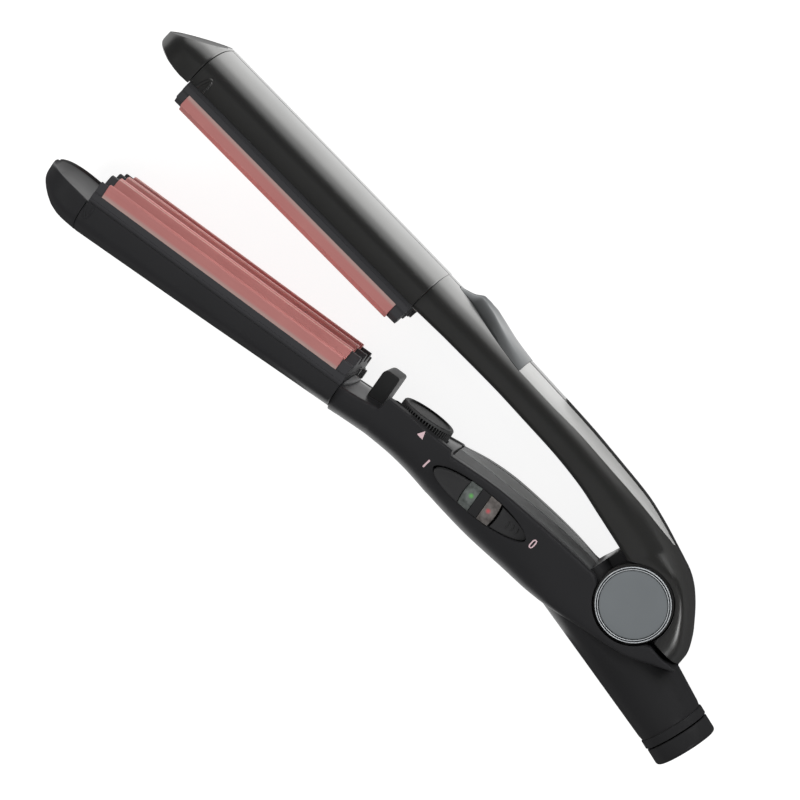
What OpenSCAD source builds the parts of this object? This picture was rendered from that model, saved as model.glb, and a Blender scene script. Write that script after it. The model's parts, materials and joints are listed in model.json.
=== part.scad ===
// Hair waving iron: two hinged arms with ridged plates, a temperature wheel and a rocker switch.
// Each arm is drawn with the hinge axis along Z at the origin and its tip towards -X, as when the
// arms are closed. The upper arm is then opened, and the whole is moved to its own frame.

/* [Arms] */
// Angle between the arms at rest, in degrees
open_angle = 9.2; // [8.6:0.1:9.6]
// Distance from the hinge axis to the seam between handle and barrel
handle_len = 134.6; // [130:0.2:140]
// Length of each barrel, from the handle seam to the nose seam
barrel_len = 117.4; // [115:0.2:125]
// Length of each nose
nose_len = 23; // [20:0.5:26]
// Half of the depth of each barrel
barrel_half = 21; // [20.8:0.1:22]
// Wall of all the casings
wall = 1.8; // [1.4:0.1:2]
// Height of the middle between the closed plates above the hinge axis
mid_y = 10.95; // [10.9:0.05:11.4]

/* [Plates] */
// Length of each plate
plate_len = 109; // [104:0.5:111]
// Half of the width of each plate
plate_half = 20; // [19.4:0.1:20.4]
// Height of the back of the lower plate above the hinge axis
plate_base_y = 5.5; // [5:0.1:5.8]
// Distance from one ridge to the next
ridge_pitch = 10; // [9.6:0.1:10]
// Height from root to crest of a ridge
ridge_h = 3.8; // [3:0.1:4.2]
// Width of the flat on a crest
crest_w = 2.4; // [2:0.1:3]
// Width of the flat at a root
root_w = 2.8; // [2.4:0.1:3.4]
// Least thickness of a plate
plate_t = 1.5; // [1.2:0.1:2]
// Extra height of the plate in its middle
plate_crown = 2.8; // [1.5:0.1:3]
// Gap between the two closed plates
plate_gap = 0.35; // [0.3:0.05:0.6]
// Length of the ridged block at each end of a plate
end_block_len = 3.4; // [2.5:0.1:3.5]
// Height of the frame strip that shows below the plate
frame_strip_h = 4; // [3:0.1:4.4]

/* [Heaters] */
// Length of each heater
heater_len = 92; // [80:1:96]
// Width of each heater
heater_w = 16; // [12:0.5:17]
// Thickness of each heater
heater_t = 2.8; // [2:0.1:3.2]
// Thickness of the spring strip behind each heater
clamp_t = 0.8; // [0.5:0.1:1]

/* [Dial] */
// Radius of the temperature wheel
wheel_r = 11.2; // [10.5:0.1:11.4]
// Distance from the hinge axis to the wheel's axis
wheel_back = 102.7; // [101:0.1:104]
// Distance of the wheel's axis in front of the middle plane
wheel_z = 1.7; // [1:0.1:2]
// Height of the wheel's rim
wheel_h = 6.2; // [5.6:0.1:6.6]
// Radius of the wheel's shaft
wheel_shaft_r = 2; // [1.6:0.1:2.4]
// Number of grip ribs round the wheel
wheel_ribs = 60; // [48:2:64]

/* [Switch] */
// Length of the eye-shaped opening
eye_len = 44.6; // [43:0.2:46]
// Width of the eye-shaped opening
eye_w = 11.2; // [10.4:0.1:11.4]
// Distance from the hinge axis to the middle of the switch
eye_back = 67.5; // [66:0.1:69]
// Tilt of the rocker from its middle position, in degrees
rock_angle = 4.5; // [3:0.1:5]
// Radius of the rocker's pivot pins
rocker_pin_r = 1; // [0.8:0.1:1.2]

/* [Hinge] */
// Radius of the hinge drum on the lower arm
drum_r = 19.1; // [18.8:0.1:19.2]
// Half of the depth of the hinge drum
drum_half = 8.8; // [8:0.1:9]
// Outer radius of the hollow hinge pin
pin_r = 5; // [4.5:0.1:5.5]
// Wall of the bush around the hinge pin
bush_wall = 1.4; // [1.2:0.1:1.8]
// Radius of the disc on each side of the hinge
disc_r = 12.8; // [12.4:0.1:13]
// Outer radius of the clear ring round each disc
ring_r = 14.2; // [14:0.1:14.4]
// Height of the disc's face from the middle plane
disc_top = 17.2; // [16.8:0.1:17.6]

/* [Tail] */
// Angle of the tail below the lower arm, in degrees
tail_angle = 22; // [20:0.5:24]
// Radius of the tail at its collar
tail_r = 12.7; // [12.4:0.1:13]
// Length of the collar
collar_len = 4; // [3:0.1:5]
// Length of the end cap behind the collar
cap_len = 7; // [6:0.2:9]
// Radius of the bore for the cord in the gland
cord_bore_r = 3.6; // [3:0.1:4]
// Outer radius of the gland's neck
gland_r = 6; // [5.6:0.1:6.6]

/* [Hidden] */

eps = 0.01;
fit = 0.05;          // radial clearance of a turning or seated fit
gap = 0.3;           // clearance between casings that move past each other
corner_r = 1.8;      // radius between the inner face and the side of a handle
squareness = 2.5;    // exponent of the round sides: 2 is an ellipse
steps = 48;          // facets of a large circle

seam_x = -handle_len;
nose_x = seam_x - barrel_len;
tip_x = nose_x - nose_len;
plate_x0 = nose_x + end_block_len + 0.2;
plate_x1 = plate_x0 + plate_len;
frame_y = plate_base_y - frame_strip_h;

// Blend from a to b
function mix(a, b, t) = a + (b - a) * t;

// Plate profile

// Height of the lower plate's face above its back at depth z: flat crests and roots on a crowned line
function to_crest(z) = abs(z - ridge_pitch * round(z / ridge_pitch));
wall_run = (ridge_pitch - crest_w - root_w) / 2;
function ridge_wave(z) = max(-1, min(1, 1 - 2 * (to_crest(z) - crest_w / 2) / wall_run));
function crown(z) = plate_crown * (1 - pow(abs(z) / plate_half, 4));
function plate_face(z) = plate_base_y + plate_t + ridge_h / 2 * (1 + ridge_wave(z)) + crown(z);
// The upper plate fits the lower one when closed; heights are in the lower arm's mirror image
function upper_plate_face(z) = 2 * mid_y - plate_gap - plate_face(z);

// Depths at which the ridge profile turns
turns = [-crest_w / 2 - wall_run, -crest_w / 2, crest_w / 2, crest_w / 2 + wall_run];
inner_turns = [for (k = [-3:3], d = turns) let (z = k * ridge_pitch + d) if (abs(z) < plate_half - 0.1) z];
plate_depths = concat([-plate_half], inner_turns, [plate_half]);

// Polyhedron helpers

function quad(a, b, c, d) = [[a, b, c], [a, c, d]];
function turned_over(faces) = [for (f = faces) [f[0], f[2], f[1]]];
// Flat end over the curve that starts at point a, e steps long
function flat_end(a, e) =
    [for (j = [0:floor((e - 1) / 2) - 1]) each quad(a + j, a + j + 1, a + e - j - 1, a + e - j)];

// Closed solid through rings of points, each ring as long as the last, with flat ends. The ends of a band,
// whose rings go out along one side and back along the other, are made from strips across it.
module loft(rings, band = false) {
    m = len(rings);
    n = len(rings[0]);
    last = (m - 1) * n;
    sides = [
        for (i = [0:m - 2], j = [0:n - 1])
            let (a = i * n + j, b = i * n + (j + 1) % n, c = a + n, d = b + n) each [[a, c, d], [a, d, b]]
    ];
    ends = band
        ? concat(flat_end(0, n - 1), turned_over(flat_end(last, n - 1)))
        : [[for (j = [0:n - 1]) j], [for (j = [n - 1:-1:0]) last + j]];
    polyhedron([for (r = rings) each r], concat(sides, ends));
}

// Half of a casing that ends on the middle plane: outer and inner open curves, the inner ones for the first,
// hollow part. A closed one has a wall at both ends, and is solid beyond the last inner curve.
module half_shell(outer, inner, closed, turn = false) {
    m = len(outer);
    n = len(outer[0]);
    e = n - 1;
    l = m - 1;
    q = len(inner) - 1;
    function o(i, j) = i * n + j;
    function p(i, j) = (m + i) * n + j;
    faces = concat(
        [for (i = [0:l - 1], j = [0:e - 1]) each quad(o(i, j), o(i + 1, j), o(i + 1, j + 1), o(i, j + 1))],
        [for (i = [0:q - 1], j = [0:e - 1]) each quad(p(i, j), p(i, j + 1), p(i + 1, j + 1), p(i + 1, j))],
        [for (i = [0:q - 1]) each concat(
            quad(o(i + 1, 0), o(i, 0), p(i, 0), p(i + 1, 0)),
            quad(o(i, e), o(i + 1, e), p(i + 1, e), p(i, e)))],
        closed ? concat(
            flat_end(o(0, 0), e), turned_over(flat_end(p(0, 0), e)),
            quad(o(0, 0), o(0, e), p(0, e), p(0, 0)),
            turned_over(flat_end(o(l, 0), e)), flat_end(p(q, 0), e),
            quad(o(q, e), o(q, 0), p(q, 0), p(q, e)),
            q < l ? [for (i = [q:l - 1]) each quad(o(i, 0), o(i, e), o(i + 1, e), o(i + 1, 0))] : [])
        : [for (j = [0:e - 1]) each concat(
            quad(o(0, j), o(0, j + 1), p(0, j + 1), p(0, j)),
            quad(o(l, j + 1), o(l, j), p(l, j), p(l, j + 1)))]);
    polyhedron([for (c = concat(outer, inner)) each c], turn ? turned_over(faces) : faces);
}

// Tube of radius r along points, with flat ends
module tube(points, r, sides = 6) {
    n = len(points);
    function way(i) = points[min(i + 1, n - 1)] - points[max(i - 1, 0)];
    function level(i) = let (d = way(i), c = cross(d, [0.02, 0.99, 0.1])) c / norm(c);
    function upright(i) = let (d = way(i), c = cross(level(i), d)) c / norm(c);
    loft([
        for (i = [0:n - 1])
            [for (k = [0:sides - 1]) points[i] + r * (cos(360 * k / sides) * level(i) - sin(360 * k / sides) * upright(i))]
    ]);
}

// Handle sections
// A section is [inner middle point, outer middle point, drop of the inner face's edge, half depth,
// half width of the band along the outer face, its depth, half width of the strip along the inner face, its depth]

function span(s) = norm(s[1] - s[0]);
function at(s, d, z) = let (e = (s[1] - s[0]) / span(s)) [s[0][0] + e[0] * d, s[0][1] + e[1] * d, z];
function blend_section(a, b, t) = [for (k = [0:7]) mix(a[k], b[k], t)];

// Distance from the inner middle point to the outer face at depth z
function corner_of(s) = min(corner_r, 0.22 * span(s));
function outer_d(s, z) =
    let (c = s[2] + corner_of(s)) c + (span(s) - c) * pow(1 - pow(abs(z) / s[3], squareness), 1 / squareness);
// The same to the inner face
function inner_d(s, z) = s[2] * abs(z) / (s[3] - corner_of(s));

// Half curve of a section, moved in by t, from the middle of the inner face to the middle of the outer face
function half_curve(s, t) =
    let (w = s[3] - t, r = max(corner_of(s) - t, 0.3), c = s[2] + t + r, full = span(s) - t,
         edge = acos(pow(s[4] / w, squareness / 2)),
         face = [for (z = [0, s[6] / 2, s[6]]) [t + s[2] * z / (w - r) + s[7], z]],
         land = [for (z = [s[6], (s[6] + w - r) / 2, w - r]) [t + s[2] * z / (w - r), z]],
         corner = [for (a = [22.5:22.5:67.5]) [c - r * cos(a), w - r + r * sin(a)]],
         side = [for (k = [0:6]) let (a = edge * k / 6)
             [c + (full - c) * pow(sin(a), 2 / squareness), w * pow(cos(a), 2 / squareness)]],
         band = [for (k = [0:3]) let (a = mix(edge, 90, k / 3))
             [c + (full - c) * pow(sin(a), 2 / squareness) - s[5], w * pow(cos(a), 2 / squareness)]])
    [for (q = concat(face, land, corner, side, band)) at(s, q[0], q[1])];

// Front half of a handle casing through sections, hollow up to section l
module half_casing(sections, l, turn) {
    d0 = norm(sections[1][0] - sections[0][0]);
    d1 = norm(sections[l][0] - sections[l - 1][0]);
    first = blend_section(sections[0], sections[1], wall / d0);
    last = blend_section(sections[l], sections[l - 1], min(0.5, wall / d1));
    inside = [for (i = [0:l]) i == 0 ? first : i == l ? last : sections[i]];
    half_shell([for (s = sections) half_curve(s, 0)],
               [for (s = inside) half_curve(s, wall)], true, turn);
}

// Solid that fills the band along the outer face of sections, from bottom to top above that face
module band_piece(sections, tops, side_gap, bottom, points = 10) {
    loft([
        for (i = [0:len(sections) - 1])
            let (s = sections[i], h = max(s[4] - side_gap, 0.2))
            concat(
                [for (k = [0:points]) let (z = mix(-h, h, k / points)) at(s, outer_d(s, z) + tops[i][k], z)],
                [for (k = [points:-1:0]) let (z = mix(-h, h, k / points)) at(s, outer_d(s, z) + bottom, z)])
    ], true);
}

// Lower handle: share of the handle's length, inner face, outer face, drop of its edge, half depth
strip_half = 12.4;
strip_t = 1.2;
groove = 0.25;
groove_half = 0.4;
housing_step = 0.872;
strip_start = 0.64;
strip_end = 0.165;
lower_rows = [
    [1, 3.6, -11, 1.6, 18.6],
    [housing_step + 0.006, 3.8, -10.3, 2.2, 18.2],
    [housing_step, 4.8, -10.3, 3, 18.1],
    [0.8, 4.9, -10.9, 2.6, 17.7],
    [0.73, 5.1, -12.3, 2, 17.4],
    [strip_start + 0.004, 5.6, -14.9, 1, 17.1],
    [strip_start, 5.6, -15, 1, 17.1],
    [0.56, 5.5, -17.2, 0, 17],
    [0.475, 5.3, -19.1, -0.8, 17],
    [0.364, 4.6, -20.6, -0.3, 17],
    [0.253, 3.5, -21.8, 0.6, 16.9],
    [strip_end, 1.9, -20.9, 1, 16.7],
    [strip_end - 0.004, 1.8, -20.8, 1, 16.7]
];
function has_strip(share) = share <= strip_start && share >= strip_end;
lower_line = [
    for (q = lower_rows)
        [[-q[0] * handle_len, q[1]], [-q[0] * handle_len, q[2]], q[3], q[4], groove_half, groove,
         strip_half, has_strip(q[0]) ? strip_t : groove / 2]
];
// Round the hinge the sections turn like spokes: inner point, outer point
lower_spokes = [
    [[-17.6, 0.6], [-14, -19.6]],
    [[-13.3, -4.4], [-6.4, -19.4]],
    [[-9, -10.7], [2.4, -18.9]],
    [[-0.4, -14], [9.2, -17.9]],
    [[7.6, -11.8], [14.2, -16.2]],
    [[14, -8.8], [18.8, -13.7]],
    [[20.3, -11.5], [22.8, -13.1]],
    [[26.6, -10.6], [26.3, -12]]
];
lower_sections = concat(lower_line,
    [for (q = lower_spokes) [q[0], q[1], 0.2, 16.9, groove_half, groove / 2, strip_half / 2, groove / 4]]);

// Upper handle with the arms closed: share of the handle's length, inner face, outer face, drop of its edge,
// half depth, half width of the insert along its back, height of the thumb rest, half width of its hollow
insert_t = 1.2;
thumb_start = 0.952;
thumb_end = 0.672;
upper_rows = [
    [1, 17.9, 35.2, 1.5, 18.7, 0.4, 0, 0],
    [thumb_start + 0.004, 18.1, 35, 1.5, 18.5, 0.6, 0, 0],
    [thumb_start, 18.1, 35, 1.5, 18.5, 2.6, 0.1, 1],
    [0.915, 18.3, 34.9, 1.4, 18.4, 4.6, 1.7, 2],
    [0.884, 18.5, 34.9, 1.3, 18.3, 7, 3.9, 3.5],
    [0.84, 18.6, 34.8, 1.2, 18.2, 10, 3.6, 6],
    [0.79, 18.7, 34.6, 1.1, 18, 12, 2.4, 8],
    [0.73, 18.8, 34.4, 1, 17.9, 13.4, 1, 9.5],
    [thumb_end, 18.9, 34.1, 0.8, 17.7, 14.1, 0.1, 10],
    [0.56, 18.5, 33.5, 0.6, 17.5, 13.8, 0, 0]
];
// Further back the sections lean over and then turn like spokes round the hinge:
// inner point, outer point, drop of the inner edge, half depth, half width of the insert
upper_bend = [
    [[-61.5, 18], [-58, 32.7], 0.5, 17.3, 12.9],
    [[-46, 16.5], [-40.5, 31.3], 0.4, 17.1, 12.2],
    [[-32.5, 13.8], [-24.5, 29.7], 0.3, 16.9, 11],
    [[-21.5, 11.4], [-12.5, 27], 0.3, 16.7, 8.5],
    [[-13.2, 9.6], [-4.5, 24.6], 0.2, 16.5, 4],
    [[-12.6, 9.8], [-3.9, 24.4], 0.2, 16.5, 0.4]
];
upper_spokes = [
    [[-6, 12.6], [1.4, 22.6]],
    [[1.2, 13.9], [6.2, 20.8]],
    [[6.9, 12.2], [11, 18.1]],
    [[10.6, 9.1], [15.9, 14]],
    [[12.9, 5.4], [20.3, 9.3]],
    [[13.9, 1.9], [24.8, 3.6]],
    [[13.9, -1.4], [27.5, -1.8]],
    [[14.6, -4.5], [27.9, -5.4]]
];
// How far the upper arm moves up with the middle between the plates
mid_shift = 2 * (mid_y - 10.95);
function insert_cut(band) = band > 1 ? insert_t : groove;
upper_line = [
    for (q = upper_rows)
        [[-q[0] * handle_len, q[1] + mid_shift], [-q[0] * handle_len, q[2] + mid_shift], q[3], q[4],
         q[5], insert_cut(q[5]), strip_half / 2, groove / 4]
];
upper_sections = concat(upper_line,
    [for (q = upper_bend) [q[0], q[1], q[2], q[3], q[4], insert_cut(q[4]), strip_half / 2, groove / 4]],
    [for (q = upper_spokes) [q[0], q[1], 0.2, 16.5, groove_half, groove / 2, strip_half / 2, groove / 4]]);
// Last section of the hollow part of each handle
lower_hollow = 12;
upper_hollow = 13;
thumb_first = 2;
thumb_last = 8;
inlay_last = 14;
thumb_sections = [for (i = [thumb_first:thumb_last]) upper_sections[i]];
inlay_sections = [for (i = [thumb_last:inlay_last]) upper_sections[i]];

// Height of the thumb rest above the handle's face: a crest with a hollow for the thumb behind it
function thumb_top(row, u) =
    let (rim = row[7] / row[5], dip = 0.35 * row[6])
    u > rim ? row[6] * (1 - pow((u - rim) / (1 - rim), 1.5)) : row[6] - dip * (1 - pow(u / rim, 2));

// Frames

// Highest point of the open upper arm, and the far corners of the tail, set the middle of the whole
barrel_back_y = 14.6;
collar_at = [37.2, -30.65];
cap_round = 1.4;
tail_dir = [cos(tail_angle), -sin(tail_angle)];
tail_side = [sin(tail_angle), cos(tail_angle)];
tail_end = collar_at + (collar_len + cap_len - cap_round) * tail_dir;
x_max = tail_end[0] + (tail_r - cap_round) * tail_side[0] + cap_round;
y_min = tail_end[1] - (tail_r - cap_round) * tail_side[1] - cap_round;
y_max = (2 * mid_y + barrel_back_y) * cos(open_angle) - nose_x * sin(open_angle);
x_min = tip_x;
middle_x = (x_min + x_max) / 2;
middle_y = (y_min + y_max) / 2;

module place() translate([-middle_x, -middle_y, barrel_half]) children();
module opened() place() rotate([0, 0, -open_angle]) children();
// The upper barrel is drawn like the lower one and mirrored in the plane between the plates
module flipped() translate([0, 2 * mid_y, 0]) mirror([0, 1, 0]) children();
module back_side() mirror([0, 0, 1]) children();
// Profile in Y and Z, drawn as [y, z], stretched along X from x0 to x1
module along_x(x0, x1) translate([x0, 0, 0]) rotate([90, 0, 90]) linear_extrude(x1 - x0) children();
module in_tail() translate([collar_at[0], collar_at[1], 0]) rotate([0, 90, -tail_angle]) children();

// Barrels

// Half curve of a barrel section at x: flat side from the mouth down, round back with a spine groove
barrel_turn_y = -2.4;
function barrel_curve(x, back, t) =
    let (w = barrel_half - t, full = back - barrel_turn_y + t, edge = acos(pow(groove_half / w, 1.2)))
    concat(
        [[x, frame_y, w], [x, barrel_turn_y, w]],
        [for (k = [1:8]) let (a = edge * k / 8)
            [x, barrel_turn_y + full * pow(sin(a), 1 / 1.2), w * pow(cos(a), 1 / 1.2)]],
        [for (z = [groove_half / 2, 0]) [x, back + t + groove, z]]);

// Screws that join the halves of a casing: [x, y, height of the boss]
barrel_screws = [[nose_x + 12, -6.6, 19.6], [(nose_x + seam_x) / 2, -6.4, 19.6], [seam_x - 9, -6.2, 19.6]];
screw_r = 1.1;
screw_head_r = 2.2;
screw_head_t = 1.4;
boss_r = 3;
module bosses(places) for (q = places) translate([q[0], q[1], eps]) cylinder(r = boss_r, h = q[2], $fn = 24);
module screw_holes(places, depth) for (q = places) translate([q[0], q[1], -eps]) cylinder(r = screw_r + fit, h = depth, $fn = 24);
module head_holes(places, seat, far) for (q = places) translate([q[0], q[1], seat]) cylinder(r = screw_head_r + 0.2, h = far, $fn = 24);
module screws(places, seat, thread) for (q = places) translate([q[0], q[1], 0]) {
    translate([0, 0, -seat - screw_head_t]) cylinder(r = screw_head_r, h = screw_head_t, $fn = 24);
    translate([0, 0, -seat - eps]) cylinder(r = screw_r, h = seat + thread, $fn = 24);
}
barrel_seat = 10.5;
barrel_thread = 8;

// Notch in the mouth's edge for the frame's snap tab
tab_x = nose_x + 5.5;
tab_w = 4.6;
tab_h = 4;
module barrel_half_shell(back_nose, back_seam, back) {
    xs = [nose_x + fit, mix(nose_x, seam_x, 0.5), seam_x - fit];
    backs = [back_nose, mix(back_nose, back_seam, 0.45), back_seam];
    difference() {
        union() {
            half_shell([for (i = [0:2]) barrel_curve(xs[i], backs[i], 0)],
                       [for (i = [0:2]) barrel_curve(xs[i], backs[i], wall)], false);
            intersection() {
                bosses(barrel_screws);
                along_x(nose_x, seam_x) polygon(concat([[frame_y, 0]],
                    [for (q = barrel_curve(0, back_seam, wall / 2)) [q[1], q[2]]]));
            }
        }
        if (back) {
            screw_holes(barrel_screws, barrel_half);
            head_holes(barrel_screws, barrel_seat, barrel_half);
        }
        else {
            screw_holes(barrel_screws, barrel_thread + 0.5);
        }
        translate([tab_x - tab_w / 2 - fit, frame_y - tab_h - fit, barrel_half - wall - 1])
            cube([tab_w + 2 * fit, tab_h + 1, wall + 2]);
    }
}
lower_backs = [-13.3, -9.5];
upper_backs = [-barrel_back_y, -13.4];

module lower_barrel_front() color("#2c2c2e") place() barrel_half_shell(lower_backs[0], lower_backs[1], false);
module lower_barrel_back() color("#2c2c2e") place() back_side() barrel_half_shell(lower_backs[0], lower_backs[1], true);
module upper_barrel_front() color("#3c3c3e") opened() flipped() barrel_half_shell(upper_backs[0], upper_backs[1], false);
module upper_barrel_back() color("#3c3c3e") opened() flipped() back_side() barrel_half_shell(upper_backs[0], upper_backs[1], true);
module lower_barrel_screws() color("#8a8a8c") place() screws(barrel_screws, barrel_seat, barrel_thread);
module upper_barrel_screws() color("#8a8a8c") opened() flipped() screws(barrel_screws, barrel_seat, barrel_thread);

// Noses
// Ring of a nose section at share f of its length: round back, raised rim and dished inner face
dish_depth = 2.4;
rim_rise = 2.6;
tip_y = 0.6;
// The upper nose has a slanted outer face with a shallow finger scoop
slant_angle = 26;
scoop_r = 10.5;
scoop_at = 12.5;
scoop_depth = 1.6;
function slant_y(x, z, back0) =
    back0 + 0.2 + (nose_x - 1.5 - x) * tan(slant_angle)
    + scoop_depth * max(0, 1 - (pow(nose_x - scoop_at - x, 2) + z * z) / pow(scoop_r, 2));
function nose_ring(f, back0, slanted) =
    let (x = nose_x - fit - f * (nose_len - fit), round = pow(1 - pow(f, 2.4), 1 / 2.4), w = barrel_half * round,
         back = tip_y + (back0 - tip_y) * pow(1 - pow(f, 3), 1 / 3), rim = frame_y + rim_rise * pow(f, 0.8),
         turn = mix(barrel_turn_y, tip_y + 0.4, f), dish = dish_depth * min(1, round + 0.2),
         curve = [for (k = [1:10]) let (a = k * 9)
             [x, turn + (back - turn) * pow(sin(a), 1 / 1.2), w * pow(cos(a), 1 / 1.2)]],
         half = concat([[x, rim, w], [x, turn, w]],
                       slanted ? [for (q = curve) [x, max(q[1], slant_y(x, q[2], back0)), q[2]]] : curve))
    concat(half, [for (k = [10:-1:0]) [half[k][0], half[k][1], -half[k][2]]],
           [for (u = [-0.92, -0.6, -0.3, 0, 0.3, 0.6, 0.92]) [x, rim - dish * (1 - u * u), u * w]]);
nose_shares = [0, 0.08, 0.2, 0.33, 0.45, 0.58, 0.7, 0.8, 0.88, 0.94, 0.975, 0.993, 0.9995];
socket_depth = 7;
module nose(back0, slanted) difference() {
    loft([for (k = [len(nose_shares) - 1:-1:0]) nose_ring(nose_shares[k], back0, slanted)]);
    translate([nose_x - socket_depth, -8, -barrel_half * 0.6])
        cube([socket_depth + 1, 8 + frame_y - dish_depth - 2, barrel_half * 1.2]);
}
module lower_nose() color("#2c2c2e") place() nose(lower_backs[0], false);
module upper_nose() color("#3c3c3e") opened() flipped() nose(upper_backs[0], true);

// Plate frames
block_drop = 1;
block_round = 1.2;
pocket_half = heater_w / 2 + 0.5;
frame_bottom = -1;
frame_inner_half = barrel_half - wall - 0.4;
function block_profile(face) = concat(
    [[frame_y, -plate_half + 0.2], [frame_y, plate_half - 0.2]],
    [for (k = [len(plate_depths) - 1:-1:0]) [face[k] - block_drop, plate_depths[k] * 0.985]]);
lower_faces = [for (z = plate_depths) plate_face(z)];
upper_faces = [for (z = plate_depths) upper_plate_face(z)];
module plate_carrier(faces) {
    difference() {
        union() {
            along_x(nose_x + 0.2, seam_x - 0.2) polygon([
                [frame_y, -plate_half], [frame_y, -frame_inner_half], [frame_bottom, -frame_inner_half],
                [frame_bottom, frame_inner_half], [frame_y, frame_inner_half], [frame_y, plate_half],
                [plate_base_y, plate_half], [plate_base_y, -plate_half]]);
            for (x = [nose_x + 0.2, plate_x1]) along_x(x, x + end_block_len) polygon(block_profile(faces));
            for (z = [-1, 1]) translate([tab_x - tab_w / 2, frame_y - tab_h, z * (barrel_half - 0.2) - (z > 0 ? wall : 0)])
                cube([tab_w, tab_h + eps, wall]);
        }
        translate([(plate_x0 + plate_x1 - heater_len) / 2 - 1, frame_bottom - 1, -pocket_half])
            cube([heater_len + 2, plate_base_y - frame_bottom + 2, 2 * pocket_half]);
    }
}
module lower_plate_carrier() color("#1f1f21") place() plate_carrier(lower_faces);
module upper_plate_carrier() color("#1f1f21") opened() flipped() plate_carrier(upper_faces);

module plate(faces) along_x(plate_x0, plate_x1) polygon(concat(
    [[plate_base_y, plate_half], [plate_base_y, -plate_half]],
    [for (k = [0:len(faces) - 1]) [faces[k], plate_depths[k]]]));
module lower_plate() color("#b97a76") place() plate(lower_faces);
module upper_plate() color("#b97a76") opened() flipped() plate(upper_faces);

// Heaters lie on the backs of the plates; a hat-shaped spring strip holds each against its plate
heater_x0 = (plate_x0 + plate_x1 - heater_len) / 2;
heater_back_y = plate_base_y - heater_t;
clamp_half = pocket_half - 0.4;
clamp_wing = pocket_half + 4;
module heater() translate([heater_x0, heater_back_y, -heater_w / 2]) cube([heater_len, heater_t, heater_w]);
module heater_clamp() along_x(heater_x0 + 6, heater_x0 + heater_len - 6) polygon([
    [frame_bottom, -clamp_wing], [frame_bottom, -clamp_half], [heater_back_y, -clamp_half],
    [heater_back_y, clamp_half], [frame_bottom, clamp_half], [frame_bottom, clamp_wing],
    [frame_bottom - clamp_t, clamp_wing], [frame_bottom - clamp_t, clamp_half - clamp_t],
    [heater_back_y - clamp_t, clamp_half - clamp_t], [heater_back_y - clamp_t, clamp_t - clamp_half],
    [frame_bottom - clamp_t, clamp_t - clamp_half], [frame_bottom - clamp_t, -clamp_wing]]);
fuse_r = 1.4;
fuse_len = 11;
module thermal_fuse() translate([heater_x0 + 20, heater_back_y - clamp_t - fuse_r, 2]) rotate([0, 90, 0]) {
    cylinder(r = fuse_r, h = fuse_len, $fn = 24);
    translate([0, 0, -3]) cylinder(r = 0.4, h = fuse_len + 6, $fn = 16);
}
module lower_heater() color("#d8d4c8") place() heater();
module upper_heater() color("#d8d4c8") opened() flipped() heater();
module lower_heater_clamp() color("#9a9a9c") place() heater_clamp();
module upper_heater_clamp() color("#9a9a9c") opened() flipped() heater_clamp();
module lower_thermal_fuse() color("#c9b98a") place() thermal_fuse();
module upper_thermal_fuse() color("#c9b98a") opened() flipped() thermal_fuse();
// Sensor bead on the back of the lower heater, in front of the spring strip
module temperature_sensor() color("#c85a3c") place()
    translate([heater_x0 + 3, heater_back_y - 1, 0]) {
        sphere(r = 1, $fn = 24);
        for (z = [-0.5, 0.5]) translate([-1.5, -0.3, z]) rotate([90, 0, 0]) cylinder(r = 0.25, h = 3, $fn = 16);
    }

// Plan of the wheel, the guide post and the switch
wheel_x = -wheel_back;
wheel_gap = 0.4;
wheel_top = 9.6;
wheel_floor = wheel_top - wheel_h - wheel_gap;
post_x = -122.7;
post_len = 6;
post_half = 8;
post_top = 14.5;
post_foot = -2;
eye_x = -eye_back;
eye_y = -3.75;
eye_face_z = 16.4;
face_tilt = 9;
module in_eye() translate([eye_x, eye_y, eye_face_z]) rotate([face_tilt, 0, 0]) children();
// Eye shape: two arcs, moved in by t
eye_r = (pow(eye_len / 2, 2) + pow(eye_w / 2, 2)) / eye_w;
module eye(t, z0, z1) translate([0, 0, z0]) intersection() {
    translate([0, eye_r - eye_w / 2, 0]) cylinder(r = eye_r - t, h = z1 - z0, $fn = 96);
    translate([0, eye_w / 2 - eye_r, 0]) cylinder(r = eye_r - t, h = z1 - z0, $fn = 96);
}

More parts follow.
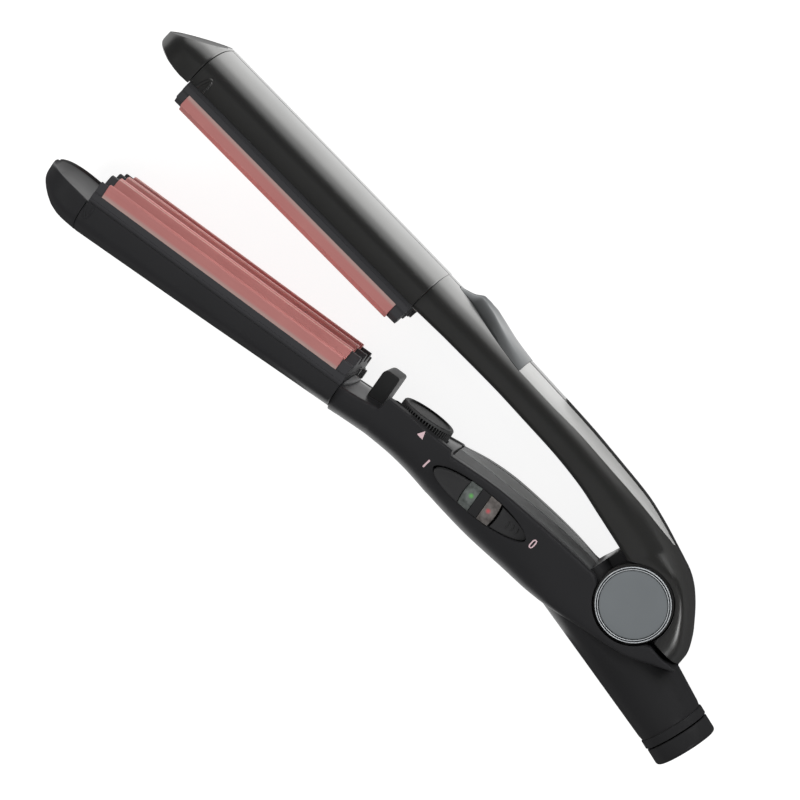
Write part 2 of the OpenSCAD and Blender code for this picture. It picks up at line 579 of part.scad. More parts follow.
// Tail
tail_start = 65;
tail_spread = 0.065;
tail_flat = 14.6;
tail_wall = 2.2;
channel_r = 4.5;
module tail_cone(extra) intersection() {
    in_tail() translate([0, 0, -tail_start]) cylinder(r1 = tail_r + tail_spread * tail_start + extra, r2 = tail_r + extra, h = tail_start, $fn = steps);
    translate([-tail_start, -tail_start, -tail_flat - extra]) cube([3 * tail_start, 3 * tail_start, 2 * (tail_flat + extra)]);
}
bush_r = pin_r + fit + bush_wall;
spring_well_r = 10;
spring_well_z = 2;
hub_hollow = 24;
leads_r = 13.2;
leads_z = -5;
module tail_body() color("#262628") place() difference() {
    union() {
        translate([0, 0, -drum_half]) cylinder(r = drum_r, h = 2 * drum_half, $fn = 96);
        tail_cone(0);
    }
    translate([0, 0, -drum_half - 1]) cylinder(r = bush_r + fit, h = 2 * drum_half + 2, $fn = steps);
    translate([0, 0, spring_well_z]) cylinder(r = spring_well_r, h = drum_half, $fn = steps);
    // Room above and below the drum for the cheeks of the upper arm
    for (z = [drum_half, -drum_half - tail_start]) translate([0, 0, z]) cylinder(r = cheek_r + gap, h = tail_start, $fn = 96);
    in_tail() translate([0, 0, -hub_hollow]) cylinder(r = tail_r - tail_wall, h = hub_hollow + 1, $fn = steps);
    in_tail() translate([0, 0, -tail_start - 1]) cylinder(r = channel_r, h = tail_start, $fn = 24);
    // Round channel for the wires that cross the hinge, open at both ends
    rotate([0, 0, 85]) rotate_extrude(angle = 125, $fn = 96)
        translate([leads_r - 1.6, leads_z - 1.6]) square([3.2, 3.2]);
    rotate([0, 0, 96]) translate([leads_r, -1.8, leads_z - 1.6]) cube([drum_r, 3.6, 3.2]);
    rotate([0, 0, 200]) translate([leads_r, -1.8, leads_z - 1.6]) cube([drum_r, 3.6, 3.2]);
}
cheek_r = 15;
cheek_z0 = drum_half + 0.5;
cheek_z1 = 14.4;
ring_seat = ring_r + 1.1;

module tail_collar() color("#222224") place() in_tail() difference() {
    union() {
        cylinder(r = tail_r + 0.25, h = collar_len - 0.4, $fn = steps);
        translate([0, 0, -6]) cylinder(r = tail_r - tail_wall - fit, h = 6 + eps, $fn = steps);
    }
    translate([0, 0, -7]) cylinder(r = tail_r - 2 * tail_wall, h = collar_len + 9, $fn = steps);
}
// End cap with its rounded edge and a stepped seat for the gland
gland_neck = 3;
flange_r = gland_r + 1.8;
flange_t = 1.6;
cap_wall = 2.2;
module tail_end_cap() color("#222224") place() in_tail() translate([0, 0, collar_len]) difference() {
    union() {
        rotate_extrude($fn = steps) polygon(concat(
            [[0, 0], [tail_r, 0]],
            [for (a = [0:15:90]) [tail_r - cap_round * (1 - cos(a)), cap_len - cap_round * (1 - sin(a))]],
            [[0, cap_len]]));
        translate([0, 0, -collar_len]) cylinder(r = tail_r - 2 * tail_wall - fit, h = collar_len + eps, $fn = steps);
    }
    translate([0, 0, -collar_len - 1]) cylinder(r = tail_r - 3 * tail_wall + 0.4, h = collar_len + 1 + cap_len - cap_wall - flange_t - 0.1, $fn = steps);
    translate([0, 0, cap_len - cap_wall - flange_t - 0.2]) cylinder(r = flange_r + 0.15, h = flange_t + 0.2, $fn = steps);
    translate([0, 0, -1]) cylinder(r = gland_r + 0.06, h = cap_len + 2, $fn = steps);
}
module swivel_gland() color("#1c1c1e") place() in_tail() translate([0, 0, collar_len + cap_len]) difference() {
    union() {
        translate([0, 0, -cap_wall - flange_t - 0.1]) cylinder(r = flange_r, h = flange_t, $fn = steps);
        translate([0, 0, -cap_wall - flange_t]) cylinder(r = gland_r, h = cap_wall + flange_t - 0.3, $fn = steps);
    }
    translate([0, 0, -cap_wall - flange_t - 3]) cylinder(r = cord_bore_r, h = cap_len + 6, $fn = steps);
}
// Clamp that would grip the cord inside the tail
module cord_clamp() color("#5a5a5c") place() in_tail() translate([0, 0, -16]) difference() {
    cylinder(r = tail_r - tail_wall - fit, h = 4, $fn = steps);
    translate([0, 0, -1]) cylinder(r = cord_bore_r, h = 6, $fn = 24);
    for (z = [-1, 1]) translate([z * 7, 0, -1]) cylinder(r = 1.2, h = 6, $fn = 16);
}

// Handle casings
seat_z = 10.5;
thread_z = 8;
// Screws of the handles: [x, y, height of the boss]
lower_screws = [[-0.958 * handle_len, -7.2, 13.4], [-0.386 * handle_len, -13, 12], [-31, -10, 14]];
upper_screws = [[-0.944 * handle_len, 23.2 + mid_shift, 15.8], [-0.52 * handle_len, 23, 14.8], [-36, 19.2, 14.4]];
lead_r = 0.7;
lead_z = 5;
lead_hole_half = 7;
shelf_t = 1.6;
board_y = -5.8;
board_t = 1.6;
board_half = 12.5;
board_x0 = wheel_x - 11.5;
board_x1 = eye_x + 21.5;
board_step_x = wheel_x + 10.5;
board_step_z = 3.9;
pad_t = 1.8;

module wheel_hole(r, y0, y1) translate([wheel_x, y0, wheel_z]) rotate([-90, 0, 0]) cylinder(r = r, h = y1 - y0, $fn = 96);
module lower_half(front) difference() {
    union() {
        half_casing(lower_sections, lower_hollow, false);
        bosses(lower_screws);
        // Shelves that carry the board
        for (x = [board_x0 + 6, front ? board_x0 + 14 : board_x1 - 10])
            translate([x, board_y - shelf_t, board_half - 4]) cube([3, shelf_t, 6.3]);
        intersection() {
            translate([wheel_x, wheel_floor - pad_t, front ? wheel_z : -wheel_z]) rotate([-90, 0, 0])
                cylinder(r = wheel_r + 1.6, h = pad_t + 0.6, $fn = 96);
            translate([-2 * handle_len, -50, eps]) cube([2 * handle_len, 100, 50]);
        }
    }
    screw_holes(lower_screws, front ? thread_z + 0.5 : barrel_half);
    if (!front) head_holes(lower_screws, seat_z, barrel_half);
    translate([seam_x - 1, -5.2, -1]) cube([wall + 2, 3.4, lead_hole_half + 1]);
    translate([post_x - post_len / 2 - fit, post_foot - 1, -1]) cube([post_len + 2 * fit, 12, post_half + fit + 1]);
    mirror([0, 0, front ? 0 : 1]) {
        wheel_hole(wheel_r + wheel_gap, wheel_floor, wheel_top + 10);
        wheel_hole(wheel_shaft_r + 0.8, wheel_floor - 6, wheel_top);
    }
    if (front) in_eye() eye(0, -8, 6);
    translate([0, 0, -1]) cylinder(r = drum_r + fit, h = drum_half + fit + 1, $fn = 96);
    translate([0, 0, cheek_z0 - 0.2]) cylinder(r = ring_seat + 0.1, h = barrel_half, $fn = 96);
    translate([0, 0, drum_half]) cylinder(r = cheek_r + gap, h = barrel_half, $fn = 96);
    tail_cone(fit);
}
module lower_handle_front() color("#2a2a2c") place() lower_half(true);
module lower_handle_back() color("#2a2a2c") place() back_side() lower_half(false);
module lower_handle_screws() color("#8a8a8c") place() screws(lower_screws, seat_z, thread_z);

spring_hole_at = 40;
coil_r = 8.2;
wire_r = 0.6;
module upper_half(front) difference() {
    union() {
        half_casing(upper_sections, upper_hollow, true);
        bosses(upper_screws);
        translate([0, 0, cheek_z0]) cylinder(r = cheek_r, h = cheek_z1 - cheek_z0, $fn = 96);
    }
    screw_holes(upper_screws, front ? thread_z + 0.5 : barrel_half);
    if (!front) head_holes(upper_screws, seat_z, barrel_half);
    translate([seam_x - 1, 23.6 + mid_shift, -1]) cube([wall + 2, 4, lead_hole_half + 1]);
    translate([0, 0, -1]) cylinder(r = drum_r + gap, h = cheek_z0 + 1, $fn = 96);
    translate([0, 0, cheek_z1]) cylinder(r = ring_seat, h = barrel_half, $fn = 96);
    translate([0, 0, -1]) cylinder(r = pin_r + fit, h = barrel_half, $fn = steps);
    rotate([0, 0, open_angle]) tail_cone(0.5);
    // Way for the wires from the drum into the handle
    if (!front) translate([-20.5, 17.4, lead_z - 1.6]) cube([17.5, 3.2, 3.2]);
    if (front) rotate([0, 0, spring_hole_at]) translate([coil_r, 0, cheek_z0 - 1]) cylinder(r = wire_r + 0.3, h = 4, $fn = 24);
}
module upper_handle_front() color("#363638") opened() upper_half(true);
module upper_handle_back() color("#363638") opened() back_side() upper_half(false);
module upper_handle_screws() color("#8a8a8c") opened() screws(upper_screws, seat_z, thread_z);

// Inserts along the back of the upper handle
side_gap = 0.12;
function trimmed(list) = concat(
    [blend_section(list[0], list[1], 0.03)],
    [for (i = [1:len(list) - 2]) list[i]],
    [blend_section(list[len(list) - 1], list[len(list) - 2], 0.03)]);
module thumb_rest() color("#3a3a3c") opened() band_piece(
    trimmed(thumb_sections),
    [for (i = [thumb_first:thumb_last]) [for (k = [0:12]) thumb_top(upper_rows[i], abs(k / 6 - 1))]],
    side_gap, side_gap - insert_t, 12);

// Silver inlay with a seat for the black strip in its middle
top_strip_half = 3.4;
top_strip_t = 0.7;
inlay_path = trimmed(inlay_sections);
function strip_width(s) = min(top_strip_half, s[4] * 0.6);
function face_points(s, z0, z1, lift, n) =
    [for (k = [0:n]) let (z = mix(z0, z1, k / n)) at(s, outer_d(s, z) + lift, z)];
module silver_inlay() color("#b4b4b2") opened() loft([
    for (s = inlay_path)
        let (h = s[4] - side_gap, m = strip_width(s))
        concat(face_points(s, -h, -m, 0, 4), face_points(s, -m, m, -top_strip_t, 4), face_points(s, m, h, 0, 4),
               face_points(s, h, -h, side_gap - insert_t, 14))
], true);
module top_strip() color("#1c1c1e") opened() loft([
    for (s = trimmed(inlay_path))
        let (m = strip_width(s) - 0.06)
        concat(face_points(s, -m, m, 0.1, 4), face_points(s, m, -m, 0.02 - top_strip_t, 4))
], true);

// Long strip along the inner face of the lower handle, with a groove in its middle
strip_first = 6;
strip_last = 11;
function inner_points(s, zs, drop) = [for (z = zs) at(s, inner_d(s, z) + drop, z)];
strip_depths = [-1, -0.6, -0.25, -0.03, 0, 0.03, 0.25, 0.6, 1];
module inner_strip() color("#55585a") place() loft([
    for (s = trimmed([for (i = [strip_first:strip_last]) lower_sections[i]]))
        let (h = strip_half - side_gap)
        concat([for (u = strip_depths) at(s, inner_d(s, u * h) + (u == 0 ? groove : 0), u * h)],
               [for (k = [8:-1:0]) at(s, inner_d(s, strip_depths[k] * h) + strip_t - gap, strip_depths[k] * h)])
], true);

// Guide post with its foot under the inner face
module guide_post() color("#1a1a1c") place() {
    translate([post_x - post_len / 2, post_foot, 0]) linear_extrude(2 * post_half, center = true) polygon(concat(
        [[0, 0], [post_len, 0], [post_len, post_top - post_foot - 0.8], [post_len - 0.8, post_top - post_foot]],
        [for (a = [90:-15:0]) [2.2 - 2.2 * sin(90 - a), post_top - post_foot - 2.2 + 2.2 * sin(a)]]));
    translate([post_x - post_len / 2 - 1.4, post_foot, -post_half - 2]) cube([post_len + 2.8, 1.6, 2 * post_half + 4]);
}

// Temperature wheel: ribbed rim, dished top and a shaft that turns in the potentiometer
rib_depth = 0.5;
top_dish = 0.7;
module dial_wheel() color("#1a1a1c") place() translate([wheel_x, wheel_top, wheel_z]) rotate([-90, 0, 0]) difference() {
    union() {
        translate([0, 0, -wheel_h]) linear_extrude(wheel_h) polygon([
            for (k = [0:wheel_ribs - 1], q = [[0, 0], [0.25, 0], [0.5, 1], [0.75, 1]])
                let (a = 360 * (k + q[0]) / wheel_ribs, r = wheel_r - rib_depth * q[1]) [r * cos(a), r * sin(a)]
        ]);
        translate([0, 0, -wheel_top + board_y + board_t + 0.6]) cylinder(r = wheel_shaft_r, h = wheel_top - wheel_h - board_y - board_t - 0.6 + eps, $fn = steps);
    }
    translate([0, 0, -top_dish]) cylinder(r = wheel_r - 1.6, h = top_dish + 1, $fn = steps);
}
pot_half = 6;
pot_top = 0.4;
module potentiometer() color("#3c5a8c") place() translate([wheel_x, board_y + board_t, wheel_z]) rotate([-90, 0, 0]) difference() {
    translate([-pot_half, -pot_half, 0]) cube([2 * pot_half, 2 * pot_half, pot_top - board_y - board_t]);
    translate([0, 0, 0.5]) cylinder(r = wheel_shaft_r + fit, h = 20, $fn = steps);
}
module control_board() color("#2c6b45") place() translate([0, board_y + board_t, 0]) rotate([90, 0, 0]) linear_extrude(board_t) polygon([
    [board_x0, -board_half], [board_x1, -board_half], [board_x1, board_step_z], [board_step_x, board_step_z],
    [board_step_x, board_half], [board_x0, board_half]]);

// Rocker switch, drawn about the middle of its face
lens_in = 2.1;
lens_out = 6.6;
lens_t = 1.8;
ledge_t = 0.9;
paddle_start = 7.5;
paddle_t = 3.6;
pivot_z = -4.5;
ear_in = 3.7;
ear_out = 4.9;
led_x = (lens_in + lens_out) / 2;
led_r = 1.5;
switch_top = -7.2;
switch_h = 4.8;
module slab(x0, x1, y, z0, z1) translate([x0, -y, z0]) cube([x1 - x0, 2 * y, z1 - z0]);
module pivot_rod(r, y0, y1) translate([0, y0, pivot_z]) rotate([-90, 0, 0]) cylinder(r = r, h = y1 - y0, $fn = 32);
module rocker_bridge() color("#2a2a2c") place() in_eye() difference() {
    union() {
        intersection() {
            eye(0.12, -lens_t, 0.1);
            slab(-lens_in, lens_in, eye_w, -lens_t, 1);
        }
        slab(-lens_out - 0.2, lens_out + 0.2, ear_out, -lens_t - ledge_t, -lens_t);
        for (y = [-ear_out, ear_in]) translate([-1.8, y, pivot_z - 1.8]) cube([3.6, ear_out - ear_in, -lens_t - pivot_z + 1.8]);
    }
    pivot_rod(rocker_pin_r + fit, -eye_w, eye_w);
    for (x = [-led_x, led_x]) translate([x, 0, -lens_t - ledge_t - 1]) cylinder(r = led_r + 0.3, h = ledge_t + 2, $fn = 32);
}
module lens(x0, x1) intersection() {
    eye(0.15, -lens_t, 0.25);
    slab(x0, x1, eye_w, -lens_t, 1);
}
module green_lens() color("#6f8f7a") place() in_eye() lens(-lens_out, -lens_in - 0.02);
module red_lens() color("#8f6f6c") place() in_eye() lens(lens_in + 0.02, lens_out);
module indicator_leds() color("#d8e8d8") place() in_eye() for (x = [-led_x, led_x]) translate([x, 0, switch_top]) {
    cylinder(r = led_r, h = -lens_t - ledge_t - switch_top - led_r + 0.4, $fn = 32);
    translate([0, 0, -lens_t - ledge_t - switch_top - led_r + 0.4]) sphere(r = led_r, $fn = 32);
}
module rocker() color("#2e2e30") place() in_eye() translate([0, 0, pivot_z]) rotate([0, rock_angle, 0]) translate([0, 0, -pivot_z]) {
    difference() {
        eye(0.35, -paddle_t, 0.2);
        slab(-paddle_start, paddle_start, eye_w, -paddle_t - 1, 1);
        for (k = [0:2]) translate([14 + 1.8 * k, -eye_w, -0.05]) cube([0.7, 2 * eye_w, 1]);
    }
    for (y = [-2.8, 2.8]) translate([-paddle_start - 1.6, y - 0.7, pivot_z - 1])
        cube([2 * paddle_start + 3.2, 1.4, -pivot_z - paddle_t + 1.1]);
    pivot_rod(1.6, -ear_in + 0.15, ear_in - 0.15);
    pivot_rod(rocker_pin_r, -ear_out + 0.2, ear_out - 0.2);
}
module switch_body() color("#d0d0cc") place() in_eye() slab(-7, 7, 4.2, switch_top - switch_h, switch_top);

// Hinge
module sleeve(r1, r2, z0, z1) translate([0, 0, z0]) difference() {
    cylinder(r = r2, h = z1 - z0, $fn = steps);
    translate([0, 0, -1]) cylinder(r = r1, h = z1 - z0 + 2, $fn = steps);
}
pin_end = cheek_z1 - 0.3;
module hinge_bush() color("#b08a4a") place() sleeve(pin_r + fit, bush_r, -drum_half, drum_half);
module hinge_pin() color("#9a9a9c") opened() sleeve(pin_r - 1.6, pin_r, -pin_end, pin_end);
washer_gap = 0.05;
washer_w = 2.4;
module hinge_washers() color("#d8d8d4") opened() {
    sleeve(pin_r + fit, pin_r + washer_w, drum_half + washer_gap, cheek_z0 - washer_gap);
    sleeve(pin_r + fit, pin_r + washer_w, -cheek_z0 + washer_gap, -drum_half - washer_gap);
}
cap_edge = 0.4;
module hinge_cap() rotate_extrude($fn = 96) polygon([
    [0, cheek_z1], [disc_r, cheek_z1], [disc_r, disc_top - cap_edge], [disc_r - cap_edge, disc_top], [0, disc_top]]);
module hinge_ring() rotate_extrude($fn = 96) polygon([
    [disc_r + fit, cheek_z1], [ring_r, cheek_z1], [ring_r, disc_top - 0.2], [ring_r - 0.5, disc_top + 0.3],
    [disc_r + 0.5, disc_top + 0.3], [disc_r + fit, disc_top]]);
module front_hinge_cap() color("#6f7376") opened() hinge_cap();
module back_hinge_cap() color("#6f7376") opened() back_side() hinge_cap();
module front_hinge_ring() color("#c8ccd0") opened() hinge_ring();
module back_hinge_ring() color("#c8ccd0") opened() back_side() hinge_ring();

// Coil spring in its well: one leg bears on the wall of the well, the other stands up into the cheek
coil_turns = 3;
coil_z0 = spring_well_z + 1;
coil_z1 = drum_half - 1.6;
coil_steps = 16;
coil_end = spring_hole_at - open_angle;
coil_points = [for (k = [0:coil_turns * coil_steps])
    let (a = coil_end - 360 * (coil_turns - k / coil_steps), z = mix(coil_z0, coil_z1, k / (coil_turns * coil_steps)))
    [coil_r * cos(a), coil_r * sin(a), z]];
coil_foot = [for (d = [spring_well_r - wire_r - 0.1, coil_r + 0.6]) [d * cos(coil_end - 9), d * sin(coil_end - 9), coil_z0 - 0.05]];
coil_leg = [for (z = [coil_z1 + 0.9, cheek_z0 + 2]) [coil_r * cos(coil_end), coil_r * sin(coil_end), z]];
module hinge_spring() color("#8c8c90") place() tube(concat(coil_foot, coil_points, coil_leg), wire_r);

// Wires
module pair(points, z, r) for (side = [-1, 1]) tube([for (q = points) [q[0], q[1], side * z]], r);
board_top = board_y + board_t;
module lower_leads() color("#a33a34") place() {
    pair([[wheel_x - 7.5, board_top + lead_r + 0.05], [seam_x + 8, -3.4], [seam_x + 5, -3], [seam_x - 3, -2.1], [seam_x - 12, -1.95],
          [heater_x0 + heater_len - 2.2, -1.4], [heater_x0 + heater_len - 2.9, 0.4],
          [heater_x0 + heater_len - 3, heater_back_y - 0.05]], lead_z, lead_r);
    pair([collar_at - 11 * tail_dir, collar_at - 64 * tail_dir, [-30, -5], [-38, -3.7], [board_x1 - 4, board_top + lead_r + 0.05]],
         1.4, lead_r);
}
function turned(r, a) = [r * cos(a), r * sin(a)];
hinge_route = concat([turned(29, 197), turned(23, 199)], [for (a = [200:-10:100]) turned(leads_r, a)], [turned(16, 97), turned(19.5, 97), turned(20.6, 104)]);
module hinge_leads() color("#a33a34") place()
    tube([for (q = hinge_route) [q[0], q[1], leads_z]], lead_r);
module upper_leads() color("#a33a34") opened() {
    pair([[-20, 21.2], [-26, 22.9], [-40, 25.4], [-60, 27.3], [-80, 28], [-110, 28], [-122, 27.7],
          [seam_x + 4.6, 26.9 + mid_shift], [seam_x + 0.6, 25.6 + mid_shift], [seam_x - 3.4, 24.2 + mid_shift],
          [seam_x - 12, 23.95 + mid_shift], [heater_x0 + heater_len - 2.2, 23.3 + mid_shift],
          [heater_x0 + heater_len - 2.9, 21.5 + mid_shift],
          [heater_x0 + heater_len - 3, 2 * mid_y - heater_back_y + 0.05]], lead_z, lead_r);
}

lower_nose();
lower_barrel_front();
lower_barrel_back();
lower_plate_carrier();
lower_plate();
lower_heater();
lower_heater_clamp();
temperature_sensor();
lower_thermal_fuse();
lower_handle_front();
lower_handle_back();
inner_strip();
guide_post();
tail_body();
tail_collar();
tail_end_cap();
cord_clamp();
hinge_bush();
hinge_spring();
control_board();
potentiometer();
switch_body();
rocker_bridge();
green_lens();
red_lens();
indicator_leds();
lower_barrel_screws();
lower_handle_screws();
lower_leads();
hinge_leads();
upper_nose();
upper_barrel_front();
upper_barrel_back();
upper_plate_carrier();
upper_plate();
upper_heater();
upper_heater_clamp();
upper_thermal_fuse();
upper_handle_front();
upper_handle_back();
thumb_rest();
silver_inlay();
top_strip();
hinge_pin();
hinge_washers();
front_hinge_cap();
back_hinge_cap();
front_hinge_ring();
back_hinge_ring();
upper_barrel_screws();
upper_handle_screws();
upper_leads();
dial_wheel();
rocker();
swivel_gland();
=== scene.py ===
"""Hair waving iron, open on its side: moulded shells, ridged plates, wheel, switch and hinge cap."""

import json
import math

import bmesh
import bpy
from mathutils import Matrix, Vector


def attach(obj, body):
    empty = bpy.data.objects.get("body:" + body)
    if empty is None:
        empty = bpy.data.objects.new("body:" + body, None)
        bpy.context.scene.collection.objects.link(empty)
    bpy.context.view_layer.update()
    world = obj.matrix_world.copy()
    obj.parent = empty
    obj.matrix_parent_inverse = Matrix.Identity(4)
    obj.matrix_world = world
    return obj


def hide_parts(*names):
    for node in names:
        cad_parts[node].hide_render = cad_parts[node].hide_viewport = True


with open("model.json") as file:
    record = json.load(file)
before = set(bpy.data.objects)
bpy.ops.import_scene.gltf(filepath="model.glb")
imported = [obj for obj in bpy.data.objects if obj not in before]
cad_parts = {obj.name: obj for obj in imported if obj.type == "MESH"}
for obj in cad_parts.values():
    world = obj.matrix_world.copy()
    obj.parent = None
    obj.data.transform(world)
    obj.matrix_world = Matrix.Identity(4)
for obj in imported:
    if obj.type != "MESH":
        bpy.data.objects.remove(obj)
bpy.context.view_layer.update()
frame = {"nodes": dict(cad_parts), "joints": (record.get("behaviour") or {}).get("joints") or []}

# Sizes are in millimetres in the arm's own frame, as in the part's source: the hinge axis along Z at the
# origin and the tip towards -X, with the arms closed
HINGE = next(Vector(j["pos_m"]) for j in frame["joints"] if j["name"] == "arm_hinge")
OPEN = math.radians(9.2)
MID_Y = 10.95
HANDLE = 134.6
SEAM_X = -HANDLE
NOSE_X = SEAM_X - 117.4
GAP = 0.12

# Barrels: half width, wall, height of the plate's opening, height at which the sides turn into the back,
# and the power that rounds the back
HALF = 21
WALL = 1.8
MOUTH_Y = 1.5
TURN_Y = -2.4
BACK_POWER = 1.2

# Plates: ends, half width, back face and the pitch of the ridges
PLATE_X0 = NOSE_X + 3.6
PLATE_X1 = PLATE_X0 + 109
PLATE_HALF = 20
PLATE_BACK = 5.5
PITCH = 10

# Wheel, eye-shaped switch and its rocker
WHEEL = Vector((-102.7, 9.6, 1.7))
WHEEL_R = 11.2
EYE = Vector((-67.5, -3.75, 16.4))
EYE_HALF_LEN = 21.8
EYE_HALF_W = 5.6
EYE_LEAN = 0.045
FACE_TILT = math.radians(9)
ROCK = math.radians(4.5)
PIVOT_Z = -4.5

# Tail and the cheeks that carry the hinge caps
COLLAR = Vector((37.2, -30.65, 0))
TAIL_TILT = math.radians(22)
TAIL_DIR = Vector((math.cos(TAIL_TILT), -math.sin(TAIL_TILT), 0))
TAIL_SIDE = Vector((math.sin(TAIL_TILT), math.cos(TAIL_TILT), 0))
TAIL_R = 12.7
TAIL_LEN = 65
TAIL_FLAT = 14.6
CHEEK_Z = 14.4

# Points round a circle, steps of a quarter turn, and the angle in degrees below which faces shade as one
ROUND = 96
QUARTER = [math.radians(q) for q in range(0, 91, 15)]
SMOOTH = 32


def on_lower(x, y, z):
    """Point of the lower arm, in metres."""
    return HINGE + Vector((x, y, z)) / 1000


def on_upper(x, y, z):
    """Point of the upper arm, given with the arms closed and turned open about the hinge."""
    c, s = math.cos(OPEN), math.sin(OPEN)
    return HINGE + Vector((x * c + y * s, y * c - x * s, z)) / 1000


def on_upper_barrel(x, y, z):
    """The upper barrel is the lower one's mirror image in the plane between the plates."""
    return on_upper(x, 2 * MID_Y - y, z)


def on_tail(x, y, z):
    """Point x to the side, y across and z back along the tail from its collar."""
    p = COLLAR + TAIL_SIDE * x + TAIL_DIR * z
    return on_lower(p.x, p.y, y)


def on_face(x, y, z):
    """Point about the middle of the switch, whose face leans back."""
    c, s = math.cos(FACE_TILT), math.sin(FACE_TILT)
    return on_lower(EYE.x + x, EYE.y + y * c - z * s, EYE.z + y * s + z * c)


def on_rocker(x, y, z):
    """Point of the rocker, turned about its pivot pins."""
    c, s = math.cos(ROCK), math.sin(ROCK)
    up = z - PIVOT_Z
    return on_face(x * c + up * s, y, PIVOT_Z - x * s + up * c)


def on_wheel(x, y, z):
    """Point about the top of the wheel, with z up along its axis."""
    return on_lower(WHEEL.x + x, WHEEL.y + z, WHEEL.z - y)


# Modelling


def nothing_selected():
    if bpy.context.object and bpy.context.object.mode != "OBJECT":
        bpy.ops.object.mode_set(mode="OBJECT")
    bpy.ops.object.select_all(action="DESELECT")


def only(piece):
    nothing_selected()
    piece.select_set(True)
    bpy.context.view_layer.objects.active = piece


def lay_ring(mesh, before, ring):
    """Puts the newest ring of points in its place, in step with the ring it was drawn from."""
    mesh.verts.ensure_lookup_table()
    mesh.verts.index_update()
    count = len(ring)
    if before is None:
        order = {v.index: k for k, v in enumerate(mesh.verts)}
    else:
        first = len(mesh.verts) - count
        order = {}
        for v in mesh.verts[first:]:
            near = next(e.other_vert(v).index for e in v.link_edges if e.other_vert(v).index < first)
            order[v.index] = before[near]
    for index, k in order.items():
        mesh.verts[index].co = ring[k]
    return order


def smooth(piece, angle=SMOOTH):
    only(piece)
    bpy.ops.object.shade_smooth_by_angle(angle=math.radians(angle))


def loft(name, rings, place, angle=SMOOTH):
    """Skin through rings of points: a circle is laid on the first and extruded to each of the others."""
    nothing_selected()
    bpy.ops.mesh.primitive_circle_add(vertices=len(rings[0]), radius=0.01)
    piece = bpy.context.object
    piece.name = piece.data.name = name
    bpy.ops.object.mode_set(mode="EDIT")
    bpy.ops.mesh.select_all(action="SELECT")
    order = lay_ring(bmesh.from_edit_mesh(piece.data), None, [place(*p) for p in rings[0]])
    bpy.ops.mesh.edge_face_add()
    for ring in rings[1:]:
        bpy.ops.mesh.extrude_region()
        order = lay_ring(bmesh.from_edit_mesh(piece.data), order, [place(*p) for p in ring])
    bpy.ops.mesh.select_all(action="SELECT")
    bpy.ops.mesh.normals_make_consistent(inside=False)
    bmesh.update_edit_mesh(piece.data)
    bpy.ops.object.mode_set(mode="OBJECT")
    smooth(piece, angle)
    return piece


def shape(piece, kind, **settings):
    """Adds a modifier with its settings and applies it."""
    only(piece)
    modifier = piece.modifiers.new(kind.title(), kind)
    for key, value in settings.items():
        setattr(modifier, key, value)
    bpy.ops.object.modifier_apply(modifier=modifier.name)
    return piece


def rounded(piece, width, segments=3, limit=38, angle=SMOOTH):
    """Rounds the edges that turn by more than the limit."""
    limits = {"limit_method": "ANGLE", "angle_limit": math.radians(limit)}
    shape(piece, "BEVEL", width=width / 1000, segments=segments, **limits)
    smooth(piece, angle)
    return piece


def carve(piece, cutter):
    """Cuts one piece with another, which is then thrown away."""
    shape(piece, "BOOLEAN", object=cutter, operation="DIFFERENCE", solver="EXACT")
    bpy.data.objects.remove(cutter)
    return piece


def joined(name, *parts):
    """One piece from several parts that are moulded or fixed together."""
    nothing_selected()
    for part in parts:
        part.select_set(True)
    bpy.context.view_layer.objects.active = parts[0]
    bpy.ops.object.join()
    parts[0].name = parts[0].data.name = name
    return parts[0]


def level(outline, z):
    """Outline lifted to height z."""
    return [(x, y, z) for x, y in outline]


def prism(name, outline, z0, z1, place, edge=0.0, segments=3):
    """Outline drawn in a plane and extruded from z0 to z1, with its edges rounded."""
    piece = loft(name, [level(outline, z) for z in (z0, z1)], place)
    return rounded(piece, edge, segments) if edge else piece


def bar(name, profile, xs, place, edge=0.0):
    """Profile in Y and Z, extruded along X."""
    piece = loft(name, [[(x, y, z) for y, z in profile] for x in xs], place)
    return rounded(piece, edge) if edge else piece


def circle(r, z, count=ROUND):
    """Points round a circle at height z."""
    turns = [2 * math.pi * k / count for k in range(count)]
    return [(r * math.cos(a), r * math.sin(a), z) for a in turns]


def turned(name, profile, place, count=ROUND, angle=SMOOTH):
    """Profile of radius and height, turned about its axis."""
    return loft(name, [circle(r, z, count) for r, z in profile], place, angle)


def bead(name, points, r, place, sides=10):
    """Round bead along points."""
    last = len(points) - 1
    turns = [2 * math.pi * j / sides for j in range(sides)]
    rings = []
    for k, p in enumerate(points):
        run = (Vector(points[min(k + 1, last)]) - Vector(points[max(k - 1, 0)])).normalized()
        aside = Vector((0.1, 0.2, 0.97)) if abs(run.z) < 0.9 else Vector((1, 0, 0))
        side = run.cross(aside).normalized()
        top = side.cross(run)
        rings.append([tuple(Vector(p) + side * (r * math.cos(a)) + top * (r * math.sin(a))) for a in turns])
    return loft(name, rings, place)


def mix(a, b, t):
    return a + (b - a) * t


def slope_between(before, after):
    """Slope at a row between two runs, level where they turn."""
    return 2 * before * after / (before + after) if before * after > 0 else 0


def spread(rows, cuts):
    """Rows of numbers with cuts more rows between each two, on curves that never swing past the rows."""
    out = []
    runs = [[b - a for a, b in zip(p, q)] for p, q in zip(rows, rows[1:])]
    for k in range(len(rows) - 1):
        for c in range(cuts[k]):
            t = c / cuts[k]
            h = t * t * (3 - 2 * t)
            row = []
            for i, d in enumerate(runs[k]):
                m0 = slope_between(runs[k - 1][i], d) if k else d
                m1 = slope_between(runs[k + 1][i], d) if k + 2 < len(rows) else d
                row.append(rows[k][i] + d * h + m0 * t * (1 - t) ** 2 - m1 * t * t * (1 - t))
            out.append(row)
    return out + [list(rows[-1])]


# Finishes


